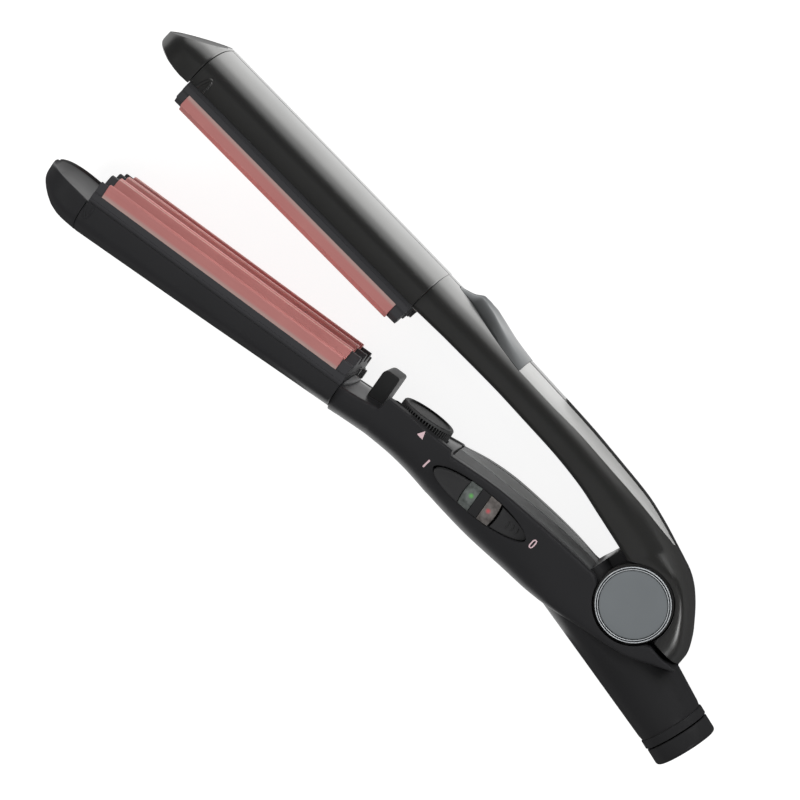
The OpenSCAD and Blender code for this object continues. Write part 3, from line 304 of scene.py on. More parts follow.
class Value:
    """Socket of a finish that takes part in sums like a number."""

    def __init__(self, finish, socket):
        self.finish = finish
        self.socket = socket

    def math(self, operation, a, b):
        return self.finish.add("ShaderNodeMath", {"operation": operation}, {0: a, 1: b})

    def __add__(self, other):
        return self.math("ADD", self, other)

    def __radd__(self, other):
        return self.math("ADD", other, self)

    def __sub__(self, other):
        return self.math("SUBTRACT", self, other)

    def __rsub__(self, other):
        return self.math("SUBTRACT", other, self)

    def __mul__(self, other):
        return self.math("MULTIPLY", self, other)

    def __rmul__(self, other):
        return self.math("MULTIPLY", other, self)

    def __lt__(self, other):
        return self.math("LESS_THAN", self, other)

    def largest(self, other):
        return self.math("MAXIMUM", self, other)


# Sockets of a Mix node that carry colours
MIX_A, MIX_B, MIX_RESULT = 6, 7, 2


class Finish:
    """Material or world whose nodes are added by one method."""

    def __init__(self, name, **shader):
        self.material = bpy.data.materials.new(name)
        self.material.use_nodes = True
        self.tree = self.material.node_tree
        self.shader = self.tree.nodes["Principled BSDF"]
        self.set(shader)

    def add(self, kind, settings=None, sockets=None, output=0):
        node = self.tree.nodes.new(kind)
        for key, value in (settings or {}).items():
            setattr(node, key, value)
        for key, value in (sockets or {}).items():
            self.feed(node.inputs[key], value)
        return Value(self, node.outputs[output])

    def feed(self, socket, value):
        if isinstance(value, Value):
            self.tree.links.new(value.socket, socket)
        else:
            socket.default_value = value

    def set(self, sockets):
        for key, value in sockets.items():
            self.feed(self.shader.inputs[key.replace("_", " ")], value)

    def place(self):
        """Place on the piece, in metres."""
        return self.add("ShaderNodeTexCoord", output="Object")

    def stretched(self, scale, turn):
        """Place scaled along each axis and turned about Z, for patterns that run along the piece."""
        sockets = {"Vector": self.place(), "Rotation": (0, 0, turn), "Scale": scale}
        return self.add("ShaderNodeMapping", {}, sockets)

    def noise(self, where, scale, detail=2.0, rough=0.5):
        sockets = {"Vector": where, "Scale": scale, "Detail": detail, "Roughness": rough}
        return self.add("ShaderNodeTexNoise", {}, sockets)

    def blend(self, factor, a, b, how="MIX"):
        """Colour a where factor is 0 and b where it is 1."""
        settings = {"data_type": "RGBA", "blend_type": how}
        return self.add("ShaderNodeMix", settings, {"Factor": factor, MIX_A: a, MIX_B: b}, MIX_RESULT)

    def bump(self, height, distance, strength):
        sockets = {"Height": height, "Distance": distance, "Strength": strength}
        return self.add("ShaderNodeBump", {}, sockets)

    def vector(self, operation, *values):
        """Vector that an operation gives, or the number that it measures."""
        output = "Value" if operation in ("DISTANCE", "DOT_PRODUCT", "LENGTH") else "Vector"
        return self.add("ShaderNodeVectorMath", {"operation": operation}, dict(enumerate(values)), output)

    def height_in(self, where):
        return self.add("ShaderNodeSeparateXYZ", {}, {"Vector": where}, "Z")

    def graded(self, value, start, end, first, last, how="SMOOTHSTEP"):
        """Goes from first to last as value goes from start to end."""
        sockets = dict(enumerate((value, start, end, first, last)))
        return self.add("ShaderNodeMapRange", {"interpolation_type": how}, sockets)

    def line(self, value, middle, half_width):
        """1 where value is within half_width of the middle, and 0 elsewhere."""
        off = value - middle
        return off * off < half_width * half_width

    def from_axis(self, where, middle, plane):
        """Distance from an axis through middle, measured in the plane given."""
        off = self.vector("SUBTRACT", where, tuple(middle))
        return self.vector("LENGTH", self.vector("MULTIPLY", off, plane))


def tint(colour, by):
    return (colour[0] * by, colour[1] * by, colour[2] * by, 1)


def moulded(name, colour, roughness, gloss=0.5, grain=0.25, metallic=0.0, handled=0.06):
    """Moulded or painted plastic: fine spark-eroded grain, faint flow marks and slight handling."""
    f = Finish(name, Metallic=metallic, Specular_IOR_Level=gloss)
    here = f.place()
    flow = f.noise(here, 45.0, 3.0)
    fine = f.noise(here, 2600.0, 2.0, 0.6)
    touched = f.noise(here, 130.0, 4.0, 0.65)
    f.set({
        "Base Color": f.blend(flow, tint(colour, 0.9), tint(colour, 1.1)),
        "Roughness": roughness - handled + touched * (2 * handled),
        "Normal": f.bump(fine, 0.00004 * grain, 0.5),
    })
    return f


def polished(name, colour, roughness):
    """Plated or polished metal with faint wiping marks."""
    f = Finish(name, Metallic=1.0)
    here = f.place()
    wiped = f.noise(here, 260.0, 4.0, 0.7)
    f.set({
        "Base Color": f.blend(wiped, tint(colour, 0.93), tint(colour, 1.05)),
        "Roughness": roughness + wiped * 0.08,
        "Normal": f.bump(f.noise(here, 900.0, 2.0), 0.00001, 0.3),
    })
    return f


def plate_finish(name, turn, root, up, crest_edge):
    """Rose-gold coating with fine lines along the ridges, painted highlights on crest edges and a painted
    pale reflection at the root.

    The plate is turned about the hinge, and rises from its root up (1) or down (-1) the turned Y axis.
    """
    f = Finish(name, Metallic=0.5)
    here = f.place()
    lines = f.noise(f.stretched((60, 1600, 1600), turn), 1.0, 3.0, 0.6)
    cloud = f.noise(here, 60.0, 3.0)
    off = f.vector("SUBTRACT", here, tuple(HINGE))
    half_pitch = PITCH / 2000
    from_crest = f.add("ShaderNodeMath", {"operation": "PINGPONG"}, {0: f.height_in(off), 1: half_pitch})
    # Painted highlight: a thin pale line along each crest edge
    crest_highlight = f.line(from_crest, crest_edge, 0.0002)
    height = f.vector("DOT_PRODUCT", off, (math.sin(turn) * up, math.cos(turn) * up, 0)) - root
    # Painted reflection: the coating is paler in a band just above its root
    band = f.graded(height + cloud * 0.0004, 0.0007, 0.0022, 0.8, 0.0)
    coat = f.blend(cloud * 0.6 + lines * 0.4, (0.68, 0.25, 0.24, 1), (0.8, 0.35, 0.325, 1))
    ridges = f.blend(crest_highlight * 0.75, coat, (0.95, 0.66, 0.6, 1))
    f.set({
        "Base Color": f.blend(band, ridges, (0.68, 0.5, 0.46, 1)),
        "Roughness": 0.3 + lines * 0.1 + cloud * 0.05,
        "Normal": f.bump(lines, 0.000012, 0.5),
    })
    return f


def strip_finish():
    """Grey trim with a fine texture, painted light on its far half and painted shade on its near half,
    meeting at its middle groove.
    """
    f = Finish("strip_grey_satin", Specular_IOR_Level=0.4)
    here = f.place()
    # Painted light and shade: the far half is a much lighter grey than the near half
    far = f.height_in(here) < HINGE.z
    base = f.blend(far, (0.085, 0.087, 0.087, 1), (0.32, 0.33, 0.326, 1))
    tone = f.blend(f.noise(here, 70.0, 3.0), (0.9, 0.9, 0.9, 1), (1.0, 1.0, 1.0, 1))
    f.set({
        "Base Color": f.blend(1.0, base, tone, "MULTIPLY"),
        "Roughness": 0.42 + f.noise(here, 300.0, 3.0) * 0.1,
        "Normal": f.bump(f.noise(here, 2200.0, 2.0), 0.00001, 0.5),
    })
    return f


def lens_finish(name, glass, glow, middle):
    """Smoked lens with the lit lamp behind its middle."""
    f = Finish(name, Specular_IOR_Level=0.6, Coat_Roughness=0.04)
    here = f.place()
    away = f.vector("DISTANCE", here, tuple(middle))
    ripple = f.noise(here, 480.0, 3.0, 0.6)
    lit = f.graded(away + ripple * 0.0006, 0.0004, 0.0017, 0.7, 0.0)
    halo = f.graded(away, 0.0016, 0.0036, 1.0, 0.0)
    shade = f.blend(halo * 0.25 + ripple * 1.1 - 0.2, tint(glass, 0.35), tint(glass, 2.1))
    f.set({
        "Base Color": f.blend(lit, shade, tint(glow, 0.8)),
        "Emission Color": f.blend(lit, (0, 0, 0, 1), tint(glow, 0.22)),
        "Emission Strength": 1.0,
        "Roughness": 0.12 + ripple * 0.12,
        "Coat Weight": 0.8,
        "Normal": f.bump(ripple, 0.00008, 0.4),
    })
    return f


def wheel_finish():
    """Soft black with painted highlights on the crests of the ribs."""
    f = Finish("wheel_soft_black", Specular_IOR_Level=0.25)
    here = f.place()
    away = f.from_axis(here, on_wheel(0, 0, 0), (1, 0, 1))
    crest = f.graded(away, 0.0107, 0.0111, 0.0, 1.0, "LINEAR")
    worn = f.noise(here, 300.0, 3.0)
    # Painted highlight on the rib crests, varied by the noise that also varies the roughness
    crest_highlight = crest * (0.6 + worn * 0.6)
    f.set({
        "Base Color": f.blend(crest_highlight, (0.012, 0.012, 0.012, 1), (0.075, 0.076, 0.076, 1)),
        "Roughness": 0.46 + worn * 0.1,
        "Normal": f.bump(f.noise(here, 2600.0), 0.00002, 0.5),
    })
    return f


def ring_finish():
    """Smoky clear ring with painted highlights in two lines round it, on its crests."""
    f = Finish("ring_clear_painted_highlights", Metallic=0.3, Coat_Weight=0.6, Coat_Roughness=0.05)
    here = f.place()
    away = f.from_axis(here, HINGE, (1, 1, 0))
    # Painted highlights: two thin pale lines on the ring's two crests
    highlight_lines = f.line(away, 0.01395, 0.0002) + f.line(away, 0.01312, 0.00014142)
    worn = f.noise(here, 420.0, 3.0)
    f.set({
        "Base Color": f.blend(highlight_lines, (0.035, 0.038, 0.042, 1), (0.68, 0.71, 0.73, 1)),
        "Roughness": 0.12 + worn * 0.12,
        "Normal": f.bump(worn, 0.00001, 0.3),
    })
    return f


black_satin = moulded("black_satin_shell", (0.022, 0.022, 0.0235), 0.36, 0.42)
titanium = moulded("titanium_grey_paint", (0.36, 0.36, 0.355), 0.3, grain=0.0, metallic=0.98, handled=0.01)
# Painted shade: the thumb rest, part of the titanium shell, gets a darker copy of its paint
thumb_shaded_titanium = moulded("thumb_rest_titanium_painted_shade", (0.19, 0.197, 0.2), 0.36, grain=0.05, metallic=0.9, handled=0.02)
black_tail = moulded("black_satin_tail", (0.019, 0.019, 0.020), 0.33, 0.42)
frame_black = moulded("plate_frame_black", (0.04, 0.04, 0.043), 0.5, 0.3, 0.4)
post_black = moulded("post_matt_black", (0.024, 0.0245, 0.0245), 0.48, 0.3, 0.5)
strip_grey = strip_finish()
silver = moulded("silver_paint", (0.6, 0.6, 0.59), 0.36, grain=0.05, metallic=0.3, handled=0.02)
rim_grey = moulded("pocket_rim_grey", (0.12, 0.122, 0.124), 0.4, 0.4, 0.3)
gloss_black = moulded("gloss_black_strip", (0.02, 0.02, 0.02), 0.16, grain=0.02, handled=0.01)
wheel_black = wheel_finish()
switch_black = moulded("switch_black", (0.034, 0.034, 0.035), 0.42, 0.35, 0.4)
bridge_black = moulded("switch_bridge_black", (0.024, 0.024, 0.025), 0.36, 0.4, 0.3)
disc_grey = moulded("disc_grey_satin", (0.155, 0.168, 0.176), 0.22, 0.4, grain=0.04, handled=0.01)
ring_highlighted = ring_finish()
mark_pink = moulded("printed_mark_pink", (0.62, 0.45, 0.48), 0.5, 0.3, 0.3)
steel = polished("screw_steel", (0.42, 0.42, 0.43), 0.26)
dark_steel = polished("spring_steel", (0.22, 0.22, 0.23), 0.3)
bronze = polished("sintered_bronze", (0.42, 0.26, 0.12), 0.36)
nylon = moulded("washer_nylon", (0.66, 0.66, 0.62), 0.45, 0.45, 0.3)
ceramic = moulded("heater_ceramic", (0.72, 0.70, 0.64), 0.62, 0.4, 0.9)
board_green = moulded("board_lacquer_green", (0.02, 0.13, 0.06), 0.28, 0.5, 0.3)
pot_blue = moulded("pot_body_blue", (0.035, 0.10, 0.27), 0.4, 0.5, 0.2)
led_clear = moulded("lamp_milky_clear", (0.55, 0.62, 0.55), 0.14, 0.6, 0.05)
wire_red = moulded("lead_sleeve_red", (0.34, 0.03, 0.025), 0.4, 0.4, 0.2)
sensor_glaze = moulded("sensor_glaze", (0.5, 0.12, 0.05), 0.3, 0.5, 0.2)
fuse_brass = polished("fuse_brass", (0.6, 0.48, 0.26), 0.3)
clamp_steel = polished("clamp_spring_steel", (0.33, 0.33, 0.34), 0.34)
switch_body_white = moulded("switch_body_nylon", (0.6, 0.6, 0.57), 0.5, 0.4, 0.5)
clamp_plastic = moulded("cord_clamp_plastic", (0.1, 0.1, 0.105), 0.45, 0.4, 0.4)


def dress(piece, finish, body, slot, *nodes):
    """Finishes a piece, attaches it to its body and hides the solids it stands for; slot is not used."""
    only(piece)
    piece.data.materials.clear()
    piece.data.materials.append(finish.material)
    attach(piece, body)
    if nodes:
        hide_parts(*nodes)
    return piece


# Barrels


def barrel_half(back, w, groove):
    """Half of a barrel's back: the flat side, the round back and the groove along the spine."""
    edge = math.acos((0.4 / w) ** BACK_POWER)
    power = 1 / BACK_POWER
    side = [(TURN_Y, w)]
    for k in range(1, 21):
        a = edge * k / 20
        side.append((mix(TURN_Y, back, math.sin(a) ** power), w * math.cos(a) ** power))
    return side + [(back + groove, 0.3), (back + groove, 0.0)]


def barrel_ring(x, backs):
    """Section of a barrel's shell at x, drawn in a little beside the gaps at its ends."""
    t = (x - NOSE_X) / (SEAM_X - NOSE_X)
    back = mix(*backs, 0.9 * t if t < 0.5 else 0.45 + 1.1 * (t - 0.5))
    inset = 0.28 if min(x - NOSE_X, SEAM_X - x) < 0.2 else 0
    half = [(MOUTH_Y - d, HALF - z - inset) for d, z in ((0, 0.2), (0.06, 0.06), (0.2, 0))]
    half += barrel_half(back + inset, HALF - inset, 0.35)
    inner = barrel_half(back + WALL, HALF - WALL, 0)
    ring = half + [(y, -z) for y, z in half[-2::-1]]
    ring += [(MOUTH_Y, WALL - HALF)] + [(y, -z) for y, z in inner]
    ring += inner[-2::-1] + [(MOUTH_Y, HALF - WALL)]
    return [(x, y, z) for y, z in ring]


def barrel(name, backs, arch_x, arch_r, place):
    """Barrel shell with an arched rim round the snap tab near the nose, on both sides."""
    xs = [NOSE_X + GAP, NOSE_X + 0.4, *(mix(NOSE_X, SEAM_X, k / 12) for k in range(1, 12))]
    xs += [SEAM_X - 0.4, SEAM_X - GAP]
    parts = [loft(name, [barrel_ring(x, backs) for x in xs], place)]
    for side in (-1, 1):
        arch = []
        for k in range(25):
            u = -1 + k / 12
            up = 5.3 * (1 - abs(u) ** 2.4)
            arch.append((arch_x + 1.6 * u + 0.16 * up, MOUTH_Y - 0.5 - up, side * (HALF - 0.3 * arch_r)))
        parts.append(bead(f"{name}_arch", arch, arch_r, place, 14))
    return joined(name, *parts)


# Arms with the place of their barrels' points and the finish of their shells
ARMS = (("lower", on_lower, black_satin), ("upper", on_upper_barrel, titanium))

# Height of the back at both ends, and place and radius of the arches
BARRELS = {"lower": ((-13.3, -9.5), -249.9, 0.4), "upper": ((-14.6, -13.4), -246.9, 0.75)}
for arm, place, shell in ARMS:
    piece = barrel(f"{arm}_barrel_casing", *BARRELS[arm], place)
    dress(piece, shell, f"{arm}_arm", f"{arm}_shell", f"{arm}_barrel_front", f"{arm}_barrel_back")


# Noses

DISH = (-0.97, -0.88, -0.75, -0.6, -0.4, -0.2, 0, 0.2, 0.4, 0.6, 0.75, 0.88, 0.97)
SCOOP = (0.985, 0.94, 0.86, 0.75, 0.6, 0.45, 0.3, 0.15, 0)
NO_FACE = -99


def along(table, x):
    """Value at x from a table of pairs, in straight runs."""
    for (x0, y0), (x1, y1) in zip(table, table[1:]):
        if x <= x1:
            return mix(y0, y1, max(0, (x - x0) / (x1 - x0)))
    return table[-1][1]


def nose(name, length, backs, rims, slant, place):
    """Cool tip: round back, raised rim and a dished inner face, drawn to a blunt point.

    A slanted face with a finger scoop takes the place of the back where slant is given.
    """
    power = 1 / BACK_POWER
    rings = []
    for q in range(61):
        f = 0.9997 * math.sin(math.pi / 2 * q / 60)
        x = NOSE_X - GAP - f * (length - GAP)
        plan = (1 - f**2.8) ** (1 / 2.8)
        first = 0.25 if q == 0 else 0
        w = HALF * plan - first
        back = along(backs, f) + first
        rim = along(rims, f)
        turn = mix(TURN_Y, mix(rim, back, 0.3), f)
        lip = min(1.2, 0.14 * w)
        half = [(rim - 0.3 * lip, w - lip), (rim, w - 0.7 * lip), (rim - 0.08 * lip, w - 0.3 * lip)]
        half.append((rim - 0.45 * lip, w))
        face = backs[0][1] + (NOSE_X - 0.8 - x) * slant if slant else NO_FACE
        share = max(0.05, min(1, (face - turn) / (back - turn)))
        a_end = math.pi / 2 if face <= back else math.asin(share**BACK_POWER)
        start = rim - 0.45 * lip - 0.25
        for k in range(1, 25):
            a = a_end * k / 24
            top = turn + (back - turn) * math.sin(a) ** power
            height = mix(start, top, min(1, k / 3)) if q else min(start, top)
            half.append((height, w * max(0, math.cos(a)) ** power))
        y_end, z_end = half[-1]
        t = (NOSE_X - 0.9 - x) / (length - 1.4)
        scoop = 0.9 * max(0, 1 - abs(2 * t - 1.05) ** 2.6) if slant and face > back else 0
        for u in SCOOP:
            deep = 0.25 * min(1, (1 - u) / 0.03) * (scoop > 0) + scoop * (1 - u * u)
            half.append((y_end + deep, u * z_end))
        dish = 2.4 * min(1, 1.4 * plan)
        ring = half + [(y, -z) for y, z in half[-2::-1]]
        ring += [(rim - 0.75 * lip - dish * (1 - u * u), u * (w - lip)) for u in DISH]
        rings.append([(x, y, z) for y, z in ring])
    return loft(name, rings, place, 24)


# Length, heights of the back and of the rim along it, and slope of the slanted face
lower_back = [(0, -13.3), (0.15, -13.05), (0.3, -12.75), (0.41, -12.3), (0.565, -11.0)]
lower_back += [(0.69, -9.2), (0.8, -7.3), (0.92, -5.1), (1, -3.4)]
lower_rim = [(0, MOUTH_Y), (0.1, 1.9), (0.3, 2.5), (0.5, 3.0), (0.75, 3.6), (1, 4.1)]
upper_back = [(0, -14.6), (0.3, -14.4), (0.6, -13.4), (0.8, -11.6), (1, -9)]
upper_rim = [(0, 2.6), (0.2, 2.8), (0.35, 2.6), (0.55, 2.1), (0.75, 1.2), (0.9, 0.2), (1, -0.7)]
NOSES = {"lower": (22.3, lower_back, lower_rim, 0), "upper": (20.9, upper_back, upper_rim, 0.525)}
for arm, place, shell in ARMS:
    piece = nose(f"{arm}_nose_cap", *NOSES[arm], place)
    dress(piece, shell, f"{arm}_arm", f"{arm}_shell", f"{arm}_nose")


# Plates and their frames


def ridge_height(z):
    """Height of the ridged face above the plate's back, with its corners rounded by averaging."""
    total = 0
    for k in range(9):
        q = min(PLATE_HALF, max(-PLATE_HALF, z + 0.14 * (k - 4)))
        from_crest = abs(q - PITCH * round(q / PITCH))
        wave = max(-1, min(1, 1 - 2 * (from_crest - 1.2) / 2.4))
        total += 1.5 + 1.9 * (1 + wave)
    crown = 2.8 * (1 - (abs(z) / PLATE_HALF) ** 4) + 0.8 * (1 - (z / PLATE_HALF) ** 2) * (1 - z / 40)
    return PLATE_BACK + total / 9 + crown


def upper_height(z):
    """The upper ridges fall between the lower ones and keep 0.35 mm clear of them."""
    return 2 * MID_Y - 0.35 - ridge_height(z)


def plate_ring(x, height, inset):
    count = 160
    w = PLATE_HALF - inset
    top = []
    for k in range(count + 1):
        z = mix(-w, w, k / count)
        edge = 0.35 if k in (0, count) else 0.1 if k in (1, count - 1) else 0
        top.append((x, height(z) - inset - edge, z))
    return top + [(x, PLATE_BACK, w), (x, PLATE_BACK, -w)]


def plate(name, height, place):
    """Ridged plate with both ends eased."""
    ends = [(0, 0.3), (0.1, 0.09), (0.32, 0)]
    rings = [plate_ring(PLATE_X0 + d, height, inset) for d, inset in ends]
    rings += [plate_ring(mix(PLATE_X0, PLATE_X1, k / 8), height, 0) for k in range(1, 8)]
    rings += [plate_ring(PLATE_X1 - d, height, inset) for d, inset in reversed(ends)]
    return loft(name, rings, place, 25)


FACES = {"lower": ridge_height, "upper": upper_height}
# Turn, root, direction and crest edge of each coating, in radians and metres
COATS = {"lower": (0.0, 0.0055, 1, 0.0012), "upper": (OPEN, -0.0164, -1, 0.0036)}
for arm, place, _ in ARMS:
    piece = plate(f"{arm}_ridged_plate", FACES[arm], place)
    dress(piece, plate_finish(f"rose_gold_{arm}", *COATS[arm]), f"{arm}_arm", "plate_rose", f"{arm}_plate")


def plate_frame(name, height, place):
    """Frame with the strip along both sides and stepped blocks at the ends of the plate."""
    inner = HALF - WALL - 0.4
    side = [(MOUTH_Y, PLATE_HALF), (2.9, PLATE_HALF), (3.0, PLATE_HALF - 0.12), (3.1, PLATE_HALF)]
    side.append((PLATE_BACK, PLATE_HALF))
    tray = [(MOUTH_Y, -PLATE_HALF), (MOUTH_Y, -inner), (-1, -inner), (-1, inner), (MOUTH_Y, inner)]
    tray += side + [(y, -z) for y, z in side[:0:-1]]
    parts = [bar(name, tray, (NOSE_X + 0.2, SEAM_X - 0.2), place)]
    last = 112
    block = []
    for k in range(last + 1):
        z = mix(-19.6, 19.6, k / last)
        edge = 0.5 if k in (0, last) else 0.12 if k in (1, last - 1) else 0
        block.append((height(z / 0.985) - 1 - edge, z))
    block += [(MOUTH_Y, 19.6), (MOUTH_Y, -19.6)]
    for x, thick in ((NOSE_X + 0.2, 3.4), (PLATE_X1, 4.3)):
        parts.append(bar(f"{name}_block", block, (x, x + thick), place, 0.2))
    return joined(name, *parts)


for arm, place, _ in ARMS:
    piece = plate_frame(f"{arm}_plate_frame", FACES[arm], place)
    dress(piece, frame_black, f"{arm}_arm", "frame_black", f"{arm}_plate_carrier")


# Handles

# Columns of a section across a handle: middle points of the inner and outer face, drop of the inner face's
# edge, half depth, half width and depth of the band along the outer face, half width and depth of the strip
# on the inner face, raised lip beside the wheel, squareness of the flank, lean of the inner face, and
# height and hollow of the thumb rest
(X_IN, Y_IN, X_OUT, Y_OUT, DROP, DEPTH, BAND, BAND_DEEP) = range(8)
(STRIP, STRIP_DEEP, LIP, SQUARE, LEAN, CREST, HOLLOW) = range(8, 15)

# Rows along the lower handle: share of its length, inner and outer height, drop, half depth, depth of the
# strip, lip, squareness and lean
LOWER_ROWS = [
    [1, 3.6, -11, 2.3, 18.6, 0.25, 0, 2.5, 0],
    [0.95, 3.7, -10.6, 2, 18.4, 0.25, 0, 2.5, 0],
    [0.878, 3.8, -10.3, 0.8, 18.2, 0.12, 0, 2.5, 0],
    [0.87, 4.8, -10.3, 2.9, 18.1, 0.12, 6.2, 2.5, 0],
    [0.8, 4.9, -10.9, 2.6, 17.7, 0.12, 5.4, 2.5, 0],
    [0.73, 5.1, -12.3, 2, 17.4, 0.12, 3.7, 2.5, 0],
    [0.646, 5.6, -14.9, 1, 17.1, 0.12, 1.6, 2.5, 0.2],
    [0.64, 5.6, -15, 1, 17.1, 1.2, 0, 2.5, 0.2],
    [0.56, 5.6, -17.2, 0, 17, 1.2, 0, 2.5, 0.8],
    [0.475, 5.3, -19.1, -0.5, 17, 1.2, 0, 2.5, 0.9],
    [0.364, 4.6, -20.6, 0, 17, 1.2, 0, 2.6, 0.8],
    [0.253, 3.5, -21.8, 0.6, 16.9, 1.2, 0, 3.2, 0.5],
    [0.165, 1.9, -20.9, 1, 16.7, 1.2, 0, 6, 0],
]
# Inner and outer points round the hinge
LOWER_SPOKES = [
    (-17.6, 0.6, -14, -19.9), (-13.3, -4.4, -6.4, -19.5), (-9, -10.7, 2.4, -18.8),
    (-0.4, -14, 9.2, -17.6), (7.6, -11.8, 14.2, -16.2), (14, -8.8, 18.8, -14.5),
    (20.3, -10.2, 22.8, -12.9), (26.6, -10.2, 26.3, -11.5),
]
LOWER_CUTS = [4, 5, 2, 6, 6, 6, 1, 5, 6, 8, 8, 6] + [3] * 8
STRIP_HALF = 12.4
lower_rows = []
for share, y_in, y_out, edge_drop, depth, *face in LOWER_ROWS:
    x = -share * HANDLE
    lower_rows.append([x, y_in, x, y_out, edge_drop, depth, 0.4, 0.25, STRIP_HALF, *face])
for k, spoke in enumerate(LOWER_SPOKES):
    strip_here = (STRIP_HALF, 1.2) if k < 2 else (6.2, 0.06)
    lower_rows.append([*spoke, 0.2, 16.9, 0.4, 0.12, *strip_here, 0, 8, 0])

# Rows along the upper handle: share of its length, inner and outer height, drop, half depth, half width of
# the band and height of the thumb rest
UPPER_ROWS = [
    [1, 17.9, 35.2, 1.5, 18.7, 0.4, 0],
    [0.956, 18.1, 35, 1.5, 18.5, 0.6, 0],
    [0.952, 18.1, 35, 1.5, 18.5, 2.6, 0.1],
    [0.915, 18.3, 34.9, 1.4, 18.4, 4.6, 1.7],
    [0.884, 18.5, 34.9, 1.3, 18.3, 7, 3.9],
    [0.84, 18.6, 34.8, 1.2, 18.2, 10, 3.6],
    [0.79, 18.7, 34.6, 1.1, 18, 12, 2.4],
    [0.73, 18.8, 34.4, 1, 17.9, 13.4, 1],
    [0.672, 18.9, 34.1, 0.8, 17.7, 14.1, 0.1],
    [0.56, 18.5, 33.5, 0.6, 17.5, 13.8, 0],
]
# Sections round the bend, up to the half width of the band
UPPER_BEND = [
    (-61.5, 18, -58, 32.7, 0.5, 17.3, 12.9), (-46, 16.5, -40.5, 31.3, 0.4, 17.1, 12.2),
    (-32.5, 13.8, -24.5, 29.7, 0.3, 16.9, 11), (-21.5, 11.4, -12.5, 27, 0.3, 16.7, 8.5),
    (-13.2, 9.6, -4.5, 24.6, 0.2, 16.5, 4), (-12.6, 9.8, -3.9, 24.4, 0.2, 16.5, 0.4),
]
UPPER_SPOKES = [
    (-6, 12.6, 1.4, 22.6), (1.2, 13.9, 6.2, 20.8), (6.9, 12.2, 11, 18.1), (10.6, 9.1, 15.9, 14),
    (12.9, 5.4, 20.3, 9.3), (13.9, 1.9, 24.8, 3.6), (13.9, -1.4, 27.5, -1.8), (14.6, -4.5, 27.9, -5.4),
]
UPPER_CUTS = [3, 1, 3, 3, 4, 4, 4, 4, 5, 5, 6, 6, 5, 5, 1] + [4] * 8
PLAIN_FACE = [6.2, 0.06, 0, 2.5, 0]
upper_heads = [[-q[0] * HANDLE, q[1], -q[0] * HANDLE, *q[2:6]] for q in UPPER_ROWS] + UPPER_BEND
upper_rows = [[*head, 1.2 if head[BAND] > 1 else 0.25, *PLAIN_FACE] for head in upper_heads]
upper_rows += [[*spoke, 0.2, 16.5, 0.4, 0.12, *PLAIN_FACE] for spoke in UPPER_SPOKES]


def reach(s):
    return math.hypot(s[X_OUT] - s[X_IN], s[Y_OUT] - s[Y_IN])


def at(s, d, z):
    """Point at distance d from the inner middle point towards the outer one, at depth z."""
    e = reach(s)
    return (s[X_IN] + (s[X_OUT] - s[X_IN]) / e * d, s[Y_IN] + (s[Y_OUT] - s[Y_IN]) / e * d, z)


def corner(s):
    return min(1.8 - 0.13 * s[LIP], 0.22 * reach(s))


def drop(s, side=1):
    """Drop of the inner face's edge on the near side, or on the far side where side is -1."""
    return s[DROP] + side * s[LEAN]


def side_start(s, side=1):
    """Distance from the inner face at which the flank is widest."""
    return drop(s, side) + min(1.8, 0.22 * reach(s))


def outer_at(s, z):
    c = side_start(s)
    return c + (reach(s) - c) * max(0, 1 - (abs(z) / s[DEPTH]) ** s[SQUARE]) ** (1 / s[SQUARE])


def inner_at(s, z, lip=1.0):
    u = abs(z) / (s[DEPTH] - corner(s))
    return drop(s, math.copysign(1, z)) * u - lip * s[LIP] * max(0, min(1, (u - 0.835) / 0.035))


def half_ring(s, side):
    """Half of a section, from the middle of the inner face round to the middle of the outer face."""
    w, r, strip_half = s[DEPTH], corner(s), s[STRIP]
    lip = 1.0 if side > 0 else 0.2
    c = side_start(s, side)
    top = drop(s, side) + r - lip * s[LIP]
    rise = reach(s) - c
    power = 2 / s[SQUARE]
    edge = math.acos(min(1, s[BAND] / w) ** (1 / power))
    groove = [strip_half * u for u in (0, 0.3, 0.6, 1)]
    points = [(inner_at(s, side * z) + s[STRIP_DEEP], z) for z in groove]
    face = [strip_half + 0.05, *((w - r) * u for u in (0.832, 0.838, 0.85, 0.862, 0.872, 0.93, 1))]
    points += [(inner_at(s, side * z, lip), z) for z in face]
    turns = [math.radians(q) for q in (15, 30, 45, 60, 75, 88)]
    points += [(top - r * math.cos(a), w - r + r * math.sin(a)) for a in turns]
    for k in range(18):
        a = edge * k / 17
        points.append((c + rise * math.sin(a) ** power, w * math.cos(a) ** power))
    for k in range(8):
        a = mix(edge, math.pi / 2, k / 7)
        points.append((c + rise * math.sin(a) ** power - s[BAND_DEEP], w * max(0, math.cos(a)) ** power))
    return [at(s, d, side * z) for d, z in points]


def handle(name, sections, place):
    return loft(name, [half_ring(s, 1) + half_ring(s, -1)[-2:0:-1] for s in sections], place, 30)


def disc_cutter(r, z0, z1):
    return turned("hinge_cutter", [(r, z0), (r, z1)], on_lower)


def hinge_room(piece, drum_r, drum_half, cheek_r, cheek_from):
    """Cuts room for the drum in the middle and for the cheeks on both sides."""
    carve(piece, disc_cutter(drum_r, -drum_half, drum_half))
    for side in (-1, 1):
        carve(piece, disc_cutter(cheek_r, side * cheek_from, side * 40))


lower_handle = handle("lower_handle_casing", spread(lower_rows, LOWER_CUTS), on_lower)
hinge_room(lower_handle, 19.3, 8.95, 15.4, 8.7)
wheel_room = [(WHEEL_R + 0.45, -6.6), (WHEEL_R + 0.45, 12)]
carve(lower_handle, turned("wheel_cutter", wheel_room, on_wheel))


def eye_half(x, t):
    """Half width of the eye at place x along it, moved in by t."""
    return (EYE_HALF_W - t) * max(0, 1 - (abs(x) / (EYE_HALF_LEN - t)) ** 2.2) ** 0.56


